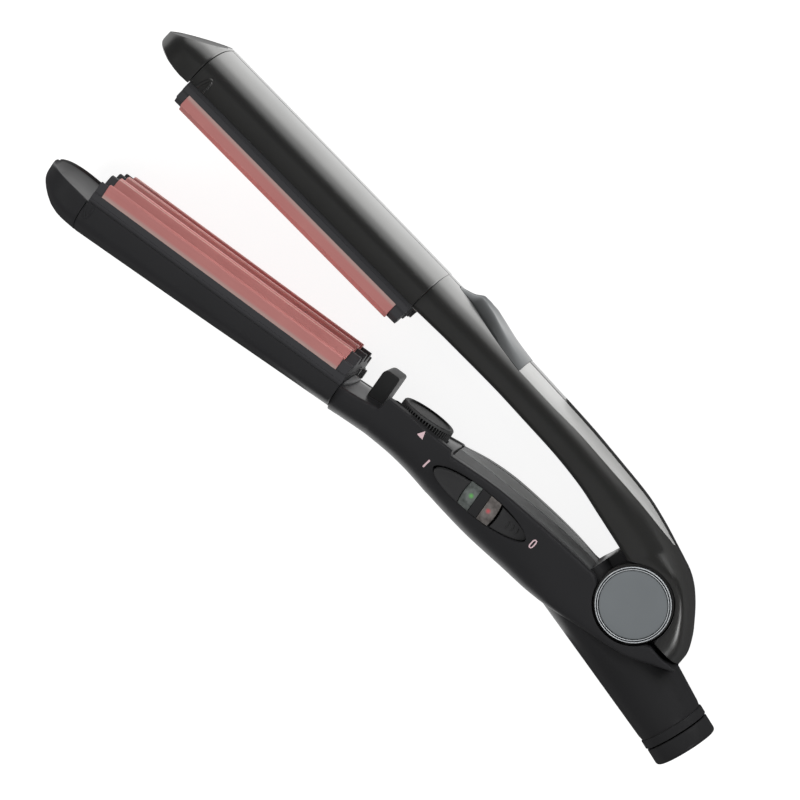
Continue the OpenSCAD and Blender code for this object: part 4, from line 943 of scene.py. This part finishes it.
def eye_outline(t, x0=-EYE_HALF_LEN, x1=EYE_HALF_LEN, count=64):
    """Eye shape with blunt ends, moved in by t and cut off before x0 and beyond x1; it leans a little."""
    end = EYE_HALF_LEN - t
    a0 = math.asin(max(-1, x0 / end))
    a1 = math.asin(min(1, x1 / end))
    xs = [end * math.sin(mix(a0, a1, k / count)) for k in range(count + 1)]
    both = [(x, eye_half(x, t) - EYE_LEAN * x) for x in xs]
    both += [(x, -eye_half(x, t) - EYE_LEAN * x) for x in reversed(xs)]
    return [q for k, q in enumerate(both) if math.dist(q, both[k - 1]) > 0.001]


carve(lower_handle, prism("eye_cutter", eye_outline(0), -7.5, 8, on_face))
lower_handle = rounded(lower_handle, 0.22, 2, 50, 30)
dress(lower_handle, black_satin, "lower_arm", "lower_shell", "lower_handle_front", "lower_handle_back")

upper_handle = handle("upper_handle_casing", spread(upper_rows, UPPER_CUTS), on_upper)
hinge_room(upper_handle, 19.45, 9.35, 15.35, 9.1)
upper_handle = rounded(upper_handle, 0.22, 2, 50, 30)
cheek = [(15.0, 9.3), (15.0, 14.2), (14.8, CHEEK_Z), (5.1, CHEEK_Z)]
cheeks = [turned("cheek", [(r, side * z) for r, z in cheek], on_upper) for side in (-1, 1)]
upper_handle = joined("upper_handle_casing", upper_handle, *cheeks)
dress(upper_handle, titanium, "upper_arm", "upper_shell", "upper_handle_front", "upper_handle_back")


# Trim along the handles


def thumb_height(s, z):
    """Height of the thumb rest at depth z: a crest that falls to the band's edge, round a hollow."""
    u = abs(z) / s[BAND]
    rim = s[HOLLOW] / s[BAND]
    if u > rim:
        return s[CREST] * (1 - ((u - rim) / (1 - rim)) ** 1.5)
    return s[CREST] - 0.35 * s[CREST] * (1 - (u / rim) ** 2)


def with_start(sections, share):
    """Moves the first section a share of the way to the second, for a fine gap before the trim."""
    sections[0] = [mix(a, b, share) for a, b in zip(*sections[:2])]
    return sections


BAND_FLOOR = 1.08
HOLLOWS = [1, 2, 3.5, 6, 8, 9.5, 10]
thumb_rows = [upper_rows[k] + [UPPER_ROWS[k][6], hollow] for k, hollow in enumerate(HOLLOWS, 2)]
thumb_rings = []
for s in spread(thumb_rows, [4, 6, 8, 8, 7, 6]):
    h = max(s[BAND] - 0.12, 0.2)
    across = [mix(-h, h, k / 36) for k in range(37)]
    ring = [at(s, outer_at(s, z) + thumb_height(s, z), z) for z in across]
    ring += [at(s, outer_at(s, z) - BAND_FLOOR, z) for z in reversed(across)]
    thumb_rings.append(ring)
thumb_rest = loft("thumb_rest_grip", thumb_rings, on_upper, 40)
dress(thumb_rest, thumb_shaded_titanium, "upper_arm", "upper_shell", "thumb_rest")

inlay_rings = []
top_rings = []
for s in with_start(spread(upper_rows[8:15], [6, 8, 8, 8, 8, 8]), 0.05):
    h = s[BAND] - 0.5
    m = min(3.4, s[BAND] * 0.6)
    edge = [0.25, 0.06] + [0] * 7
    near = [(mix(-h, -m, k / 8), edge[k]) for k in range(9)]
    ring = [at(s, outer_at(s, z) - e, z) for z, e in near]
    ring += [at(s, outer_at(s, z) - 0.7, z) for z in [mix(-m, m, k / 6) for k in range(7)]]
    ring += [at(s, outer_at(s, -z) - e, -z) for z, e in reversed(near)]
    ring += [at(s, outer_at(s, z) - BAND_FLOOR, z) for z in [mix(h, -h, k / 16) for k in range(17)]]
    inlay_rings.append(ring)
    m -= 0.08
    across = [mix(-m, m, k / 8) for k in range(9)]
    edge = [0.2] + [0] * 7 + [0.2]
    ring = [at(s, outer_at(s, z) + 0.1 - e, z) for z, e in zip(across, edge)]
    top_rings.append(ring + [at(s, outer_at(s, z) - 0.68, z) for z in reversed(across)])
inlay = loft("silver_side_inlay", inlay_rings, on_upper, 40)
dress(inlay, silver, "upper_arm", "silver", "silver_inlay")
top_strip = loft("gloss_top_strip", top_rings, on_upper, 40)
dress(top_strip, gloss_black, "upper_arm", "strip_black", "top_strip")

# Strip on the lower inner face: share of its half width and depth there, with a groove along its middle
INNER_STRIP = [(-1, 0.22), (-0.98, 0.04), (-0.6, 0), (-0.3, 0), (-0.035, 0.02), (-0.02, 0.3), (0, 0.34)]
INNER_STRIP += [(-u, d) for u, d in INNER_STRIP[-2::-1]]
strip_rings = []
for s in with_start(spread(lower_rows[7:14], [5, 6, 8, 8, 6, 6]), 0.1):
    h = STRIP_HALF - 0.12
    ring = [at(s, inner_at(s, u * h) + d, u * h) for u, d in INNER_STRIP]
    strip_rings.append(ring + [at(s, inner_at(s, u * h) + 1.1, u * h) for u, d in reversed(INNER_STRIP)])
strip = carve(loft("inner_face_strip", strip_rings, on_lower, 25), disc_cutter(19.4, -30, 30))
smooth(strip, 25)
dress(strip, strip_grey, "lower_arm", "strip_grey", "inner_strip")


# Pocket rim and small rib where the lower barrel meets the handle
rim_rings = []
for k in range(41):
    z = mix(14.6, -14.6, k / 40)
    x0 = SEAM_X + 0.02
    x1 = SEAM_X + 0.1 + 2.2 * (1 - (z / 15) ** 2)
    y = 3.9 - 2.1 * abs(z) / 16.8
    rim = [(x0, y - 1), (x0, y + 0.5), (x1, y + 0.5), (x1 + 0.35, y + 0.15), (x1 + 0.4, y - 1)]
    rim_rings.append(level(rim, z))
pocket_rim = loft("pocket_rim_arc", rim_rings, on_lower)
rib = [(-8.2, 3), (-11.0, 3), (-11.0, 6.2), (-10.6, 6.8), (-8.8, 6.8), (-8.2, 6.2)]
pocket_rib = prism("pocket_rib", rib, SEAM_X + 0.2, SEAM_X + 1.9, lambda z, y, x: on_lower(x, y, z), 0.25)
dress(joined("pocket_rim_and_rib", pocket_rim, pocket_rib), rim_grey, "lower_arm", "strip_grey")


# Tail with the hinge drum, collar, end cap and cord gland
tail_rings = []
for k in range(34):
    d = -TAIL_LEN + TAIL_LEN * k / 33
    r = TAIL_R - 0.065 * d - (0.25 if k == 33 else 0)
    ring = []
    for x, y, z in circle(r, d):
        soft = TAIL_FLAT - 0.6 * math.exp(-max(0, TAIL_FLAT - abs(y)) / 0.6)
        ring.append((x, math.copysign(min(abs(y), soft), y), d))
    tail_rings.append(ring)
tail = loft("tail_and_drum", tail_rings, on_tail)
drum_rim = [(10, -8.8), (18.4, -8.8), (18.9, -8.6), (19.1, -8.1)]
drum = turned("drum", drum_rim + [(r, -z) for r, z in reversed(drum_rim)], on_lower)
dress(joined("tail_and_drum", tail, drum), black_tail, "lower_arm", "tail_black", "tail_body")
collar_rim = [(10.4, -0.1), (12.5, 0.02), (12.9, 0.2), (12.95, 0.5)]
collar_rim += [(12.95, 3.1), (12.9, 3.4), (12.5, 3.58), (10.4, 3.6)]
collar = turned("tail_collar_ring", collar_rim, on_tail)
dress(collar, black_tail, "lower_arm", "tail_black", "tail_collar")
cap_rim = [(10, 4.0), (12.4, 4.02), (12.65, 4.2), (12.7, 4.5)]
cap_rim += [(11.3 + 1.4 * math.cos(a), 9.6 + 1.4 * math.sin(a)) for a in QUARTER]
cap_rim += [(6.7, 11), (6.35, 10.9), (6.15, 10.6), (6.1, 9), (6.1, 4.2)]
end_cap = turned("tail_end_cap_shell", cap_rim, on_tail)
dress(end_cap, black_tail, "lower_arm", "tail_black", "tail_end_cap")
gland_rim = [(3.6, 7.2), (7.7, 7.2), (7.8, 7.3), (7.8, 8.5), (7.7, 8.7), (6.0, 8.8), (6.0, 10.2)]
gland_rim += [(5.7, 10.62), (4.3, 10.66), (3.8, 10.4), (3.6, 10.0), (3.6, 7.3)]
gland = turned("cord_gland", gland_rim, on_tail, 64)
dress(gland, post_black, "cord_inlet", "tail_black", "swivel_gland")


# Hinge caps and rings, as radius and height
DISC_RIM = [(12.78, CHEEK_Z), (12.78, 16.75), (12.7, 16.98), (12.5, 17.12), (12.2, 17.18)]
DISC_RIM += [(9, 17.2), (4, 17.2), (0.3, 17.2)]
RING_RIM = [(12.88, CHEEK_Z), (14.2, CHEEK_Z), (14.2, 16.9), (14.12, 17.25), (13.95, 17.42), (13.78, 17.3)]
RING_RIM += [(13.62, 17.08), (13.45, 17.08), (13.3, 17.3), (13.15, 17.46), (12.98, 17.35), (12.88, 17.1)]
RING_RIM += [(12.88, CHEEK_Z + 0.1)]
for side, where in ((1, "front"), (-1, "back")):
    disc = turned(f"{where}_hinge_disc", [(r, side * z) for r, z in DISC_RIM], on_upper)
    dress(disc, disc_grey, "upper_arm", "disc_grey", f"{where}_hinge_cap")
    rim = turned(f"{where}_bright_ring", [(r, side * z) for r, z in RING_RIM], on_upper, ROUND, 50)
    dress(rim, ring_highlighted, "upper_arm", "ring_clear", f"{where}_hinge_ring")


# Temperature wheel: ribbed rim under a smooth lip, with a dished top

# Share of a rib's pitch and of the groove's depth there, and radius, groove depth and height of each ring
RIB = ((0, 0), (0.2, 0), (0.34, 0.75), (0.5, 1), (0.7, 1), (0.86, 0.75))
WHEEL_RIM = [
    (10.3, 0, -6.2), (10.9, 0.1, -6.1), (WHEEL_R, 0.75, -5.5), (WHEEL_R, 0.75, -1.5), (11.15, 0.3, -1.15),
    (11.1, 0, -1.0), (11.1, 0, -0.5), (10.8, 0, -0.12), (10.3, 0, 0), (9.7, 0, 0),
    (9.45, 0, -0.15), (9.2, 0, -0.6), (8.4, 0, -0.68), (0.5, 0, -0.7),
]


def wheel_ring(r, depth, z, ribs=56):
    ring = []
    for k in range(ribs):
        for share, low in RIB:
            a = 2 * math.pi * (k + share) / ribs
            ring.append(((r - depth * low) * math.cos(a), (r - depth * low) * math.sin(a), z))
    return ring


wheel = loft("ribbed_wheel", [wheel_ring(*row) for row in WHEEL_RIM], on_wheel, 35)
shaft = turned("wheel_shaft", [(2, -13.2), (2, -6)], on_wheel, 48)
dress(joined("ribbed_wheel", wheel, shaft), wheel_black, "dial", "wheel_black", "dial_wheel")


# Guide post: a rounded paddle that leans into its foot
post = [(-125.7, -2), (-118.8, -2), (-118.8, 13.9), (-119.1, 14.5), (-119.7, 14.8)]
post += [(-123.5 - 2.2 * math.sin(a), 12.6 + 2.2 * math.cos(a)) for a in QUARTER]
guide = prism("guide_paddle", post, -8, 8, on_lower, 0.6, 4)
foot = [(-127, -1.95), (-118.4, -1.95), (-118.4, -0.5), (-127, -0.5)]
guide = joined("guide_paddle", guide, prism("guide_foot", foot, -9.9, 9.9, on_lower, 0.3))
dress(guide, post_black, "lower_arm", "frame_black", "guide_post")


# Rocker switch

# Height and share drawn in of the rings over a paddle's face and over a lens, and the bow of their ends
PADDLE_FACE = [(-0.3, 0), (-0.05, 0.012), (0.1, 0.035), (0.16, 0.08), (0.16, 0.12)]
PADDLE_FACE += [(0.05, 0.3), (-0.06, 0.6), (-0.1, 0.9)]
LENS_FACE = [(-0.1, 0), (0.1, 0.03), (0.22, 0.1), (0.27, 0.2), (0.3, 0.45), (0.31, 0.8)]
BOW = 0.5


def paddle(name, sign):
    """Half of the eye beyond the lenses, with rounded edges, a hollow face and a bowed inner end."""
    ends = (7.5, EYE_HALF_LEN) if sign > 0 else (-EYE_HALF_LEN, -7.5)
    outline = [(x, y - 0.2) for x, y in eye_outline(0.6, *ends)]
    gap = max(range(len(outline)), key=lambda k: math.dist(outline[k], outline[k - 1]))
    a, b = outline[gap - 1], outline[gap]
    bow = []
    for t in [k / 12 for k in range(1, 12)]:
        bow.append((mix(a[0], b[0], t) + sign * BOW * math.sin(math.pi * t), mix(a[1], b[1], t)))
    outline = outline[:gap] + bow + outline[gap:] if gap else outline + bow
    cx = sum(q[0] for q in outline) / len(outline)
    cy = sum(q[1] for q in outline) / len(outline)
    rings = [level(outline, -3.6)]
    for z, t in PADDLE_FACE:
        rings.append([(mix(x, cx, t), mix(y, cy, t), z) for x, y in outline])
    return loft(name, rings, on_rocker, 40)


def on_rocker_side(x, y, z):
    """Point of the rocker, with y down through it and z across it."""
    return on_rocker(x, z, y)


rocker_parts = [paddle("rocker_paddle", sign) for sign in (-1, 1)]
for k in range(3):
    x = 12.6 + 2.1 * k
    wide = 1.5 - 0.15 * k
    grip = [(x + 0.2 * math.sin(math.pi * q / 8), mix(-wide, wide, q / 8) - 0.5, 0.0) for q in range(9)]
    rocker_parts.append(bead("rocker_grip", grip, 0.2, on_rocker, 8))
arm = [(-9.1, -5.5), (9.1, -5.5), (9.1, -3.5), (-9.1, -3.5)]
for y in (-2.8, 2.8):
    rocker_parts.append(prism("rocker_arm", arm, y - 0.7, y + 0.7, on_rocker_side, 0.15, 2))
for r, half in ((1.6, 3.5), (1.0, 4.7)):
    pin = [(r, -half), (r, half)]
    rocker_parts.append(turned("rocker_pin", pin, lambda x, y, z: on_rocker_side(x, y + PIVOT_Z, z), 32))
dress(joined("rocker_paddles", *rocker_parts), switch_black, "switch", "switch_black", "rocker")


def lens(name, x0, x1):
    """Lens with bowed sides, a domed top and rounded edges."""
    outline = eye_outline(0.3, x0, x1, 16)
    cx = (x0 + x1) / 2
    sides = []
    for k, q in enumerate(outline):
        p = outline[k - 1]
        steps = 12 if math.dist(p, q) > 3 else 1
        bow = math.copysign(BOW, q[0]) if steps > 1 and abs(q[0]) > 5 else 0
        for t in [j / steps for j in range(1, steps + 1)]:
            sides.append((mix(p[0], q[0], t) + math.sin(math.pi * t) * bow, mix(p[1], q[1], t)))
    rings = [level(sides, -1.8)]
    for z, inset in LENS_FACE:
        rings.append([(mix(x, cx, inset), y * (1 - inset), z) for x, y in sides])
    return loft(name, rings, on_face, 40)


def rectangle(x0, x1, y0, y1):
    return [(x0, y0), (x1, y0), (x1, y1), (x0, y1)]


bridge_rings = []
for z, t in ((-1.8, 0), (-0.15, 0), (0.0, 0.08), (0.05, 0.25)):
    bridge_rings.append(level(eye_outline(0.2 + t, -1.95 + t, 1.95 - t, 12), z))
bridge = loft("switch_bridge", bridge_rings, on_face, 40)
ledge = prism("switch_ledge", rectangle(-6.8, 6.8, -4.9, 4.9), -2.7, -1.82, on_face, 0.2, 2)
ears = []
for y in (-4.9, 3.7):
    ears.append(prism("switch_ear", rectangle(-1.8, 1.8, y, y + 1.2), -6.3, -1.9, on_face, 0.2, 2))
bridge = joined("switch_bridge", bridge, ledge, *ears)
dress(bridge, bridge_black, "lower_arm", "lower_shell", "rocker_bridge")
LENSES = (
    ("green", -7.0, -2.05, (0.09, 0.1, 0.095), (0.13, 0.5, 0.1), (-4.1, 0.7, 0.2)),
    ("red", 2.05, 7.0, (0.11, 0.1, 0.095), (0.6, 0.07, 0.09), (4.3, -0.2, 0.2)),
)
for colour, x0, x1, glass, glow, middle in LENSES:
    smoked = lens_finish(f"{colour}_window_smoked", glass, glow, on_face(*middle))
    window = lens(f"{colour}_window", x0, x1)
    dress(window, smoked, "lower_arm", f"lens_{colour}", f"{colour}_lens")


# Printed marks: a triangle beside the wheel, a bar and a ring at the two ends of the switch, drawn in front
# of the handle at MARK_Z and then let down onto it
MARK_Z = 30


def stroke(name, spots):
    """Printed stroke through spots of x, y and half width, raised by the thickness of its ink."""
    last = len(spots) - 1
    rings = []
    for k, (x, y, half) in enumerate(spots):
        x0, y0, _ = spots[max(k - 1, 0)]
        x1, y1, _ = spots[min(k + 1, last)]
        run = math.hypot(x1 - x0, y1 - y0)
        px, py = (y1 - y0) / run * half, (x0 - x1) / run * half
        line = [(x + px * u, y + py * u) for u in (-1, -0.5, 0, 0.5, 1)]
        rings.append(level(line, MARK_Z + 0.04) + level(reversed(line), MARK_Z - 0.1))
    return loft(name, rings, on_lower)


def laid_on(piece, carrier):
    """Lets a printed mark down onto the face below it."""
    for v in piece.data.vertices:
        hit, spot, _, _ = carrier.ray_cast(Vector((v.co.x, v.co.y, 0.06)), Vector((0, 0, -1)))
        v.co.z = (spot.z if hit else 0.038) + (v.co.z - HINGE.z - MARK_Z / 1000)


def blunt(value, size):
    """Sine or cosine swollen towards the corners of a rounded loop of that half size."""
    return size * math.copysign(abs(value) ** 0.7, value)


def loop(a0, a1):
    """Part of the ring mark, a long rounded loop that leans a little."""
    out = []
    for k in range(13):
        a = mix(a0, a1, k / 12)
        y = blunt(math.cos(a), 1.72)
        out.append((-42.8 + blunt(math.sin(a), 0.68) + 0.1 * y, -3.9 + y, 0.24))
    return out


def straight(start, end, count):
    """Spots of a stroke in even steps from start to end."""
    return [tuple(mix(a, b, k / count) for a, b in zip(start, end)) for k in range(count + 1)]


marks = [stroke("triangle_mark", straight((-99.2, 6.3, 0.04), (-99.75, 3.4, 1.44), 8))]
marks.append(stroke("bar_mark", straight((-92.4, -5.2, 0.36), (-91.7, -1.5, 0.36), 9)))
marks += [stroke("ring_mark", loop(k * math.pi, (k + 1) * math.pi)) for k in range(2)]
for mark in marks:
    laid_on(mark, lower_handle)
dress(joined("printed_marks", *marks), mark_pink, "lower_arm", "lower_shell")


# The parts inside keep their solids
INSIDE = (
    (ceramic, "lower_heater upper_heater"),
    (clamp_steel, "lower_heater_clamp upper_heater_clamp"),
    (sensor_glaze, "temperature_sensor"),
    (fuse_brass, "lower_thermal_fuse upper_thermal_fuse"),
    (clamp_plastic, "cord_clamp"),
    (bronze, "hinge_bush"),
    (dark_steel, "hinge_spring"),
    (board_green, "control_board"),
    (pot_blue, "potentiometer"),
    (switch_body_white, "switch_body"),
    (led_clear, "indicator_leds"),
    (nylon, "hinge_washers"),
    (steel, "hinge_pin lower_barrel_screws lower_handle_screws upper_barrel_screws upper_handle_screws"),
    (wire_red, "lower_leads hinge_leads upper_leads"),
)
for finish, nodes in INSIDE:
    for node in nodes.split():
        solid = frame["nodes"][node]
        solid.data.materials.clear()
        solid.data.materials.append(finish.material)


# Studio: white surround for the camera, a pale floor that keeps the shadow, soft lamps for the light on the
# part, and glowing cards that only reflections see, as a photographer sets them round a glossy product

CARD_Z = 0.0006


def rays(finish, *names):
    """1 for any of the kinds of ray named, and 0 for the others."""
    kinds = [finish.add("ShaderNodeLightPath", output=name) for name in names]
    total = kinds[0]
    for kind in kinds[1:]:
        total = total.largest(kind)
    return total


nothing_selected()
bpy.ops.mesh.primitive_plane_add(size=8, location=(0, 0, -0.0004))
floor = bpy.context.object
floor.name = "floor"
floor_paint = Finish("floor_paint", Roughness=0.9, Specular_IOR_Level=0.1, Emission_Color=(1, 1, 1, 1))
in_gloss = rays(floor_paint, "Is Glossy Ray")
floor_paint.set({
    "Base Color": floor_paint.blend(in_gloss, (0.32, 0.32, 0.32, 1), (0.09, 0.09, 0.09, 1)),
    "Emission Strength": rays(floor_paint, "Is Camera Ray", "Is Transmission Ray") * 0.86,
})
floor.data.materials.append(floor_paint.material)


def card(name, corners, glow, fade=None):
    """Flat card that only reflections see, near the floor where its corners have no height.

    Where fade is given, as a direction, two places along it and a glow, the card goes to that glow at the
    second place.
    """
    nothing_selected()
    bpy.ops.mesh.primitive_plane_add(size=1)
    piece = bpy.context.object
    piece.name = piece.data.name = name
    bpy.ops.object.mode_set(mode="EDIT")
    mesh = bmesh.from_edit_mesh(piece.data)
    mesh.verts.ensure_lookup_table()
    for v, spot in zip([mesh.verts[k] for k in (0, 1, 3, 2)], corners):
        v.co = spot if len(spot) == 3 else (*spot, CARD_Z)
    bmesh.update_edit_mesh(piece.data)
    bpy.ops.object.mode_set(mode="OBJECT")
    paint = Finish(f"{name}_paint", Base_Color=(0, 0, 0, 1), Roughness=1.0, Specular_IOR_Level=0.0)
    paint.set({"Emission Color": (1, 1, 1, 1), "Emission Strength": glow})
    if fade:
        direction, near, far, far_glow = fade
        place = paint.vector("DOT_PRODUCT", paint.place(), direction)
        paint.set({"Emission Strength": paint.graded(place, near, far, glow, far_glow)})
    piece.data.materials.append(paint.material)
    piece.visible_camera = False
    piece.visible_diffuse = False
    piece.visible_shadow = False
    piece.visible_transmission = False


ceiling = [(-1.2, -1.2, 0.95), (1.2, -1.2, 0.95), (1.2, 0.28, 0.95), (-1.2, 0.5, 0.95)]
card("ceiling_card", ceiling, 0.065, ((-0.6, -0.8, 0), -0.1, 0.9, 0.02))
sheen_low = [(-0.137, 0.0586), (0.045, 0.026), (0.5, 1.5), (-1.1, 1.5)]
card("sheen_card_low", sheen_low, 1.25, ((0.17, 1, 0), 0.05, 0.26, 0.5))
sheen_high = [(-1.4, 1.5), (0.5, 1.5), (0.4, 1.3, 1.0), (-1.2, 1.3, 1.0)]
card("sheen_card_high", sheen_high, 0.5, ((0, 0, 1), 0.0, 0.9, 0.0))
card("scoop_card", [(-0.4, 0.03), (-0.139, 0.03), (-0.139, 0.09), (-0.4, 0.3)], 0.38)
card("wedge_card", [(-0.5, -0.02), (0.1, -0.012), (0.1, -0.008), (-0.14, 0.035)], 1.0)
card("belly_card", [(-0.03, -0.022), (-0.06, -0.12), (0.08, -0.12), (0.1, -0.034)], 1.0)
card("tip_card", [(-0.95, -0.6, 0.9), (-0.95, -0.15, 0.9), (-0.65, -0.05, 1.05), (-0.65, -0.45, 1.05)], 0.5)
hinge_side = [(1.1, -0.1, 0.6), (1.0, 0.35, 0.6), (0.8, 0.3, 0.85), (0.9, -0.1, 0.85)]
card("hinge_card", hinge_side, 2.0, ((0, 1, 0), 0.05, 0.34, 0.5))


def soft_lamp(name, place, wide, tall, power):
    """Wide lamp aimed at the middle of the part, which gloss doesn't show."""
    data = bpy.data.lights.new(name, "AREA")
    data.shape = "RECTANGLE"
    data.size = wide
    data.size_y = tall
    data.energy = power
    lamp = bpy.data.objects.new(name, data)
    bpy.context.scene.collection.objects.link(lamp)
    lamp.location = place
    lamp.rotation_euler = (-Vector(place)).to_track_quat("-Z", "Y").to_euler()
    lamp.visible_glossy = False


soft_lamp("lamp_far_side", (0.35, 1.0, 0.62), 1.0, 0.5, 9)
soft_lamp("lamp_near_side", (-0.75, -0.75, 0.85), 0.9, 0.6, 7)


class Surround(Finish):
    """World that is white to the camera, and dimmer as fill light and in gloss."""

    def __init__(self, fill, gloss):
        world = bpy.data.worlds.new("studio_surround")
        world.use_nodes = True
        bpy.context.scene.world = world
        self.tree = world.node_tree
        self.shader = self.tree.nodes["Background"]
        seen = rays(self, "Is Camera Ray", "Is Transmission Ray")
        strength = fill + seen * (1 - fill) - rays(self, "Is Glossy Ray") * (fill - gloss)
        self.set({"Color": (1, 1, 1, 1), "Strength": strength})


Surround(0.6, 0.03)

camera_data = bpy.data.cameras.new("camera")
camera_data.lens = 135
camera_data.sensor_width = 36
camera_data.clip_end = 20
camera = bpy.data.objects.new("camera", camera_data)
bpy.context.scene.collection.objects.link(camera)
camera.location = (0.09990, 0.19356, 1.12292)
camera.rotation_euler = (-0.0930637, 0.1805521, 0.6173715)
bpy.context.scene.camera = camera
bpy.context.scene.view_settings.view_transform = "Standard"

nothing_selected()
bpy.context.view_layer.update()
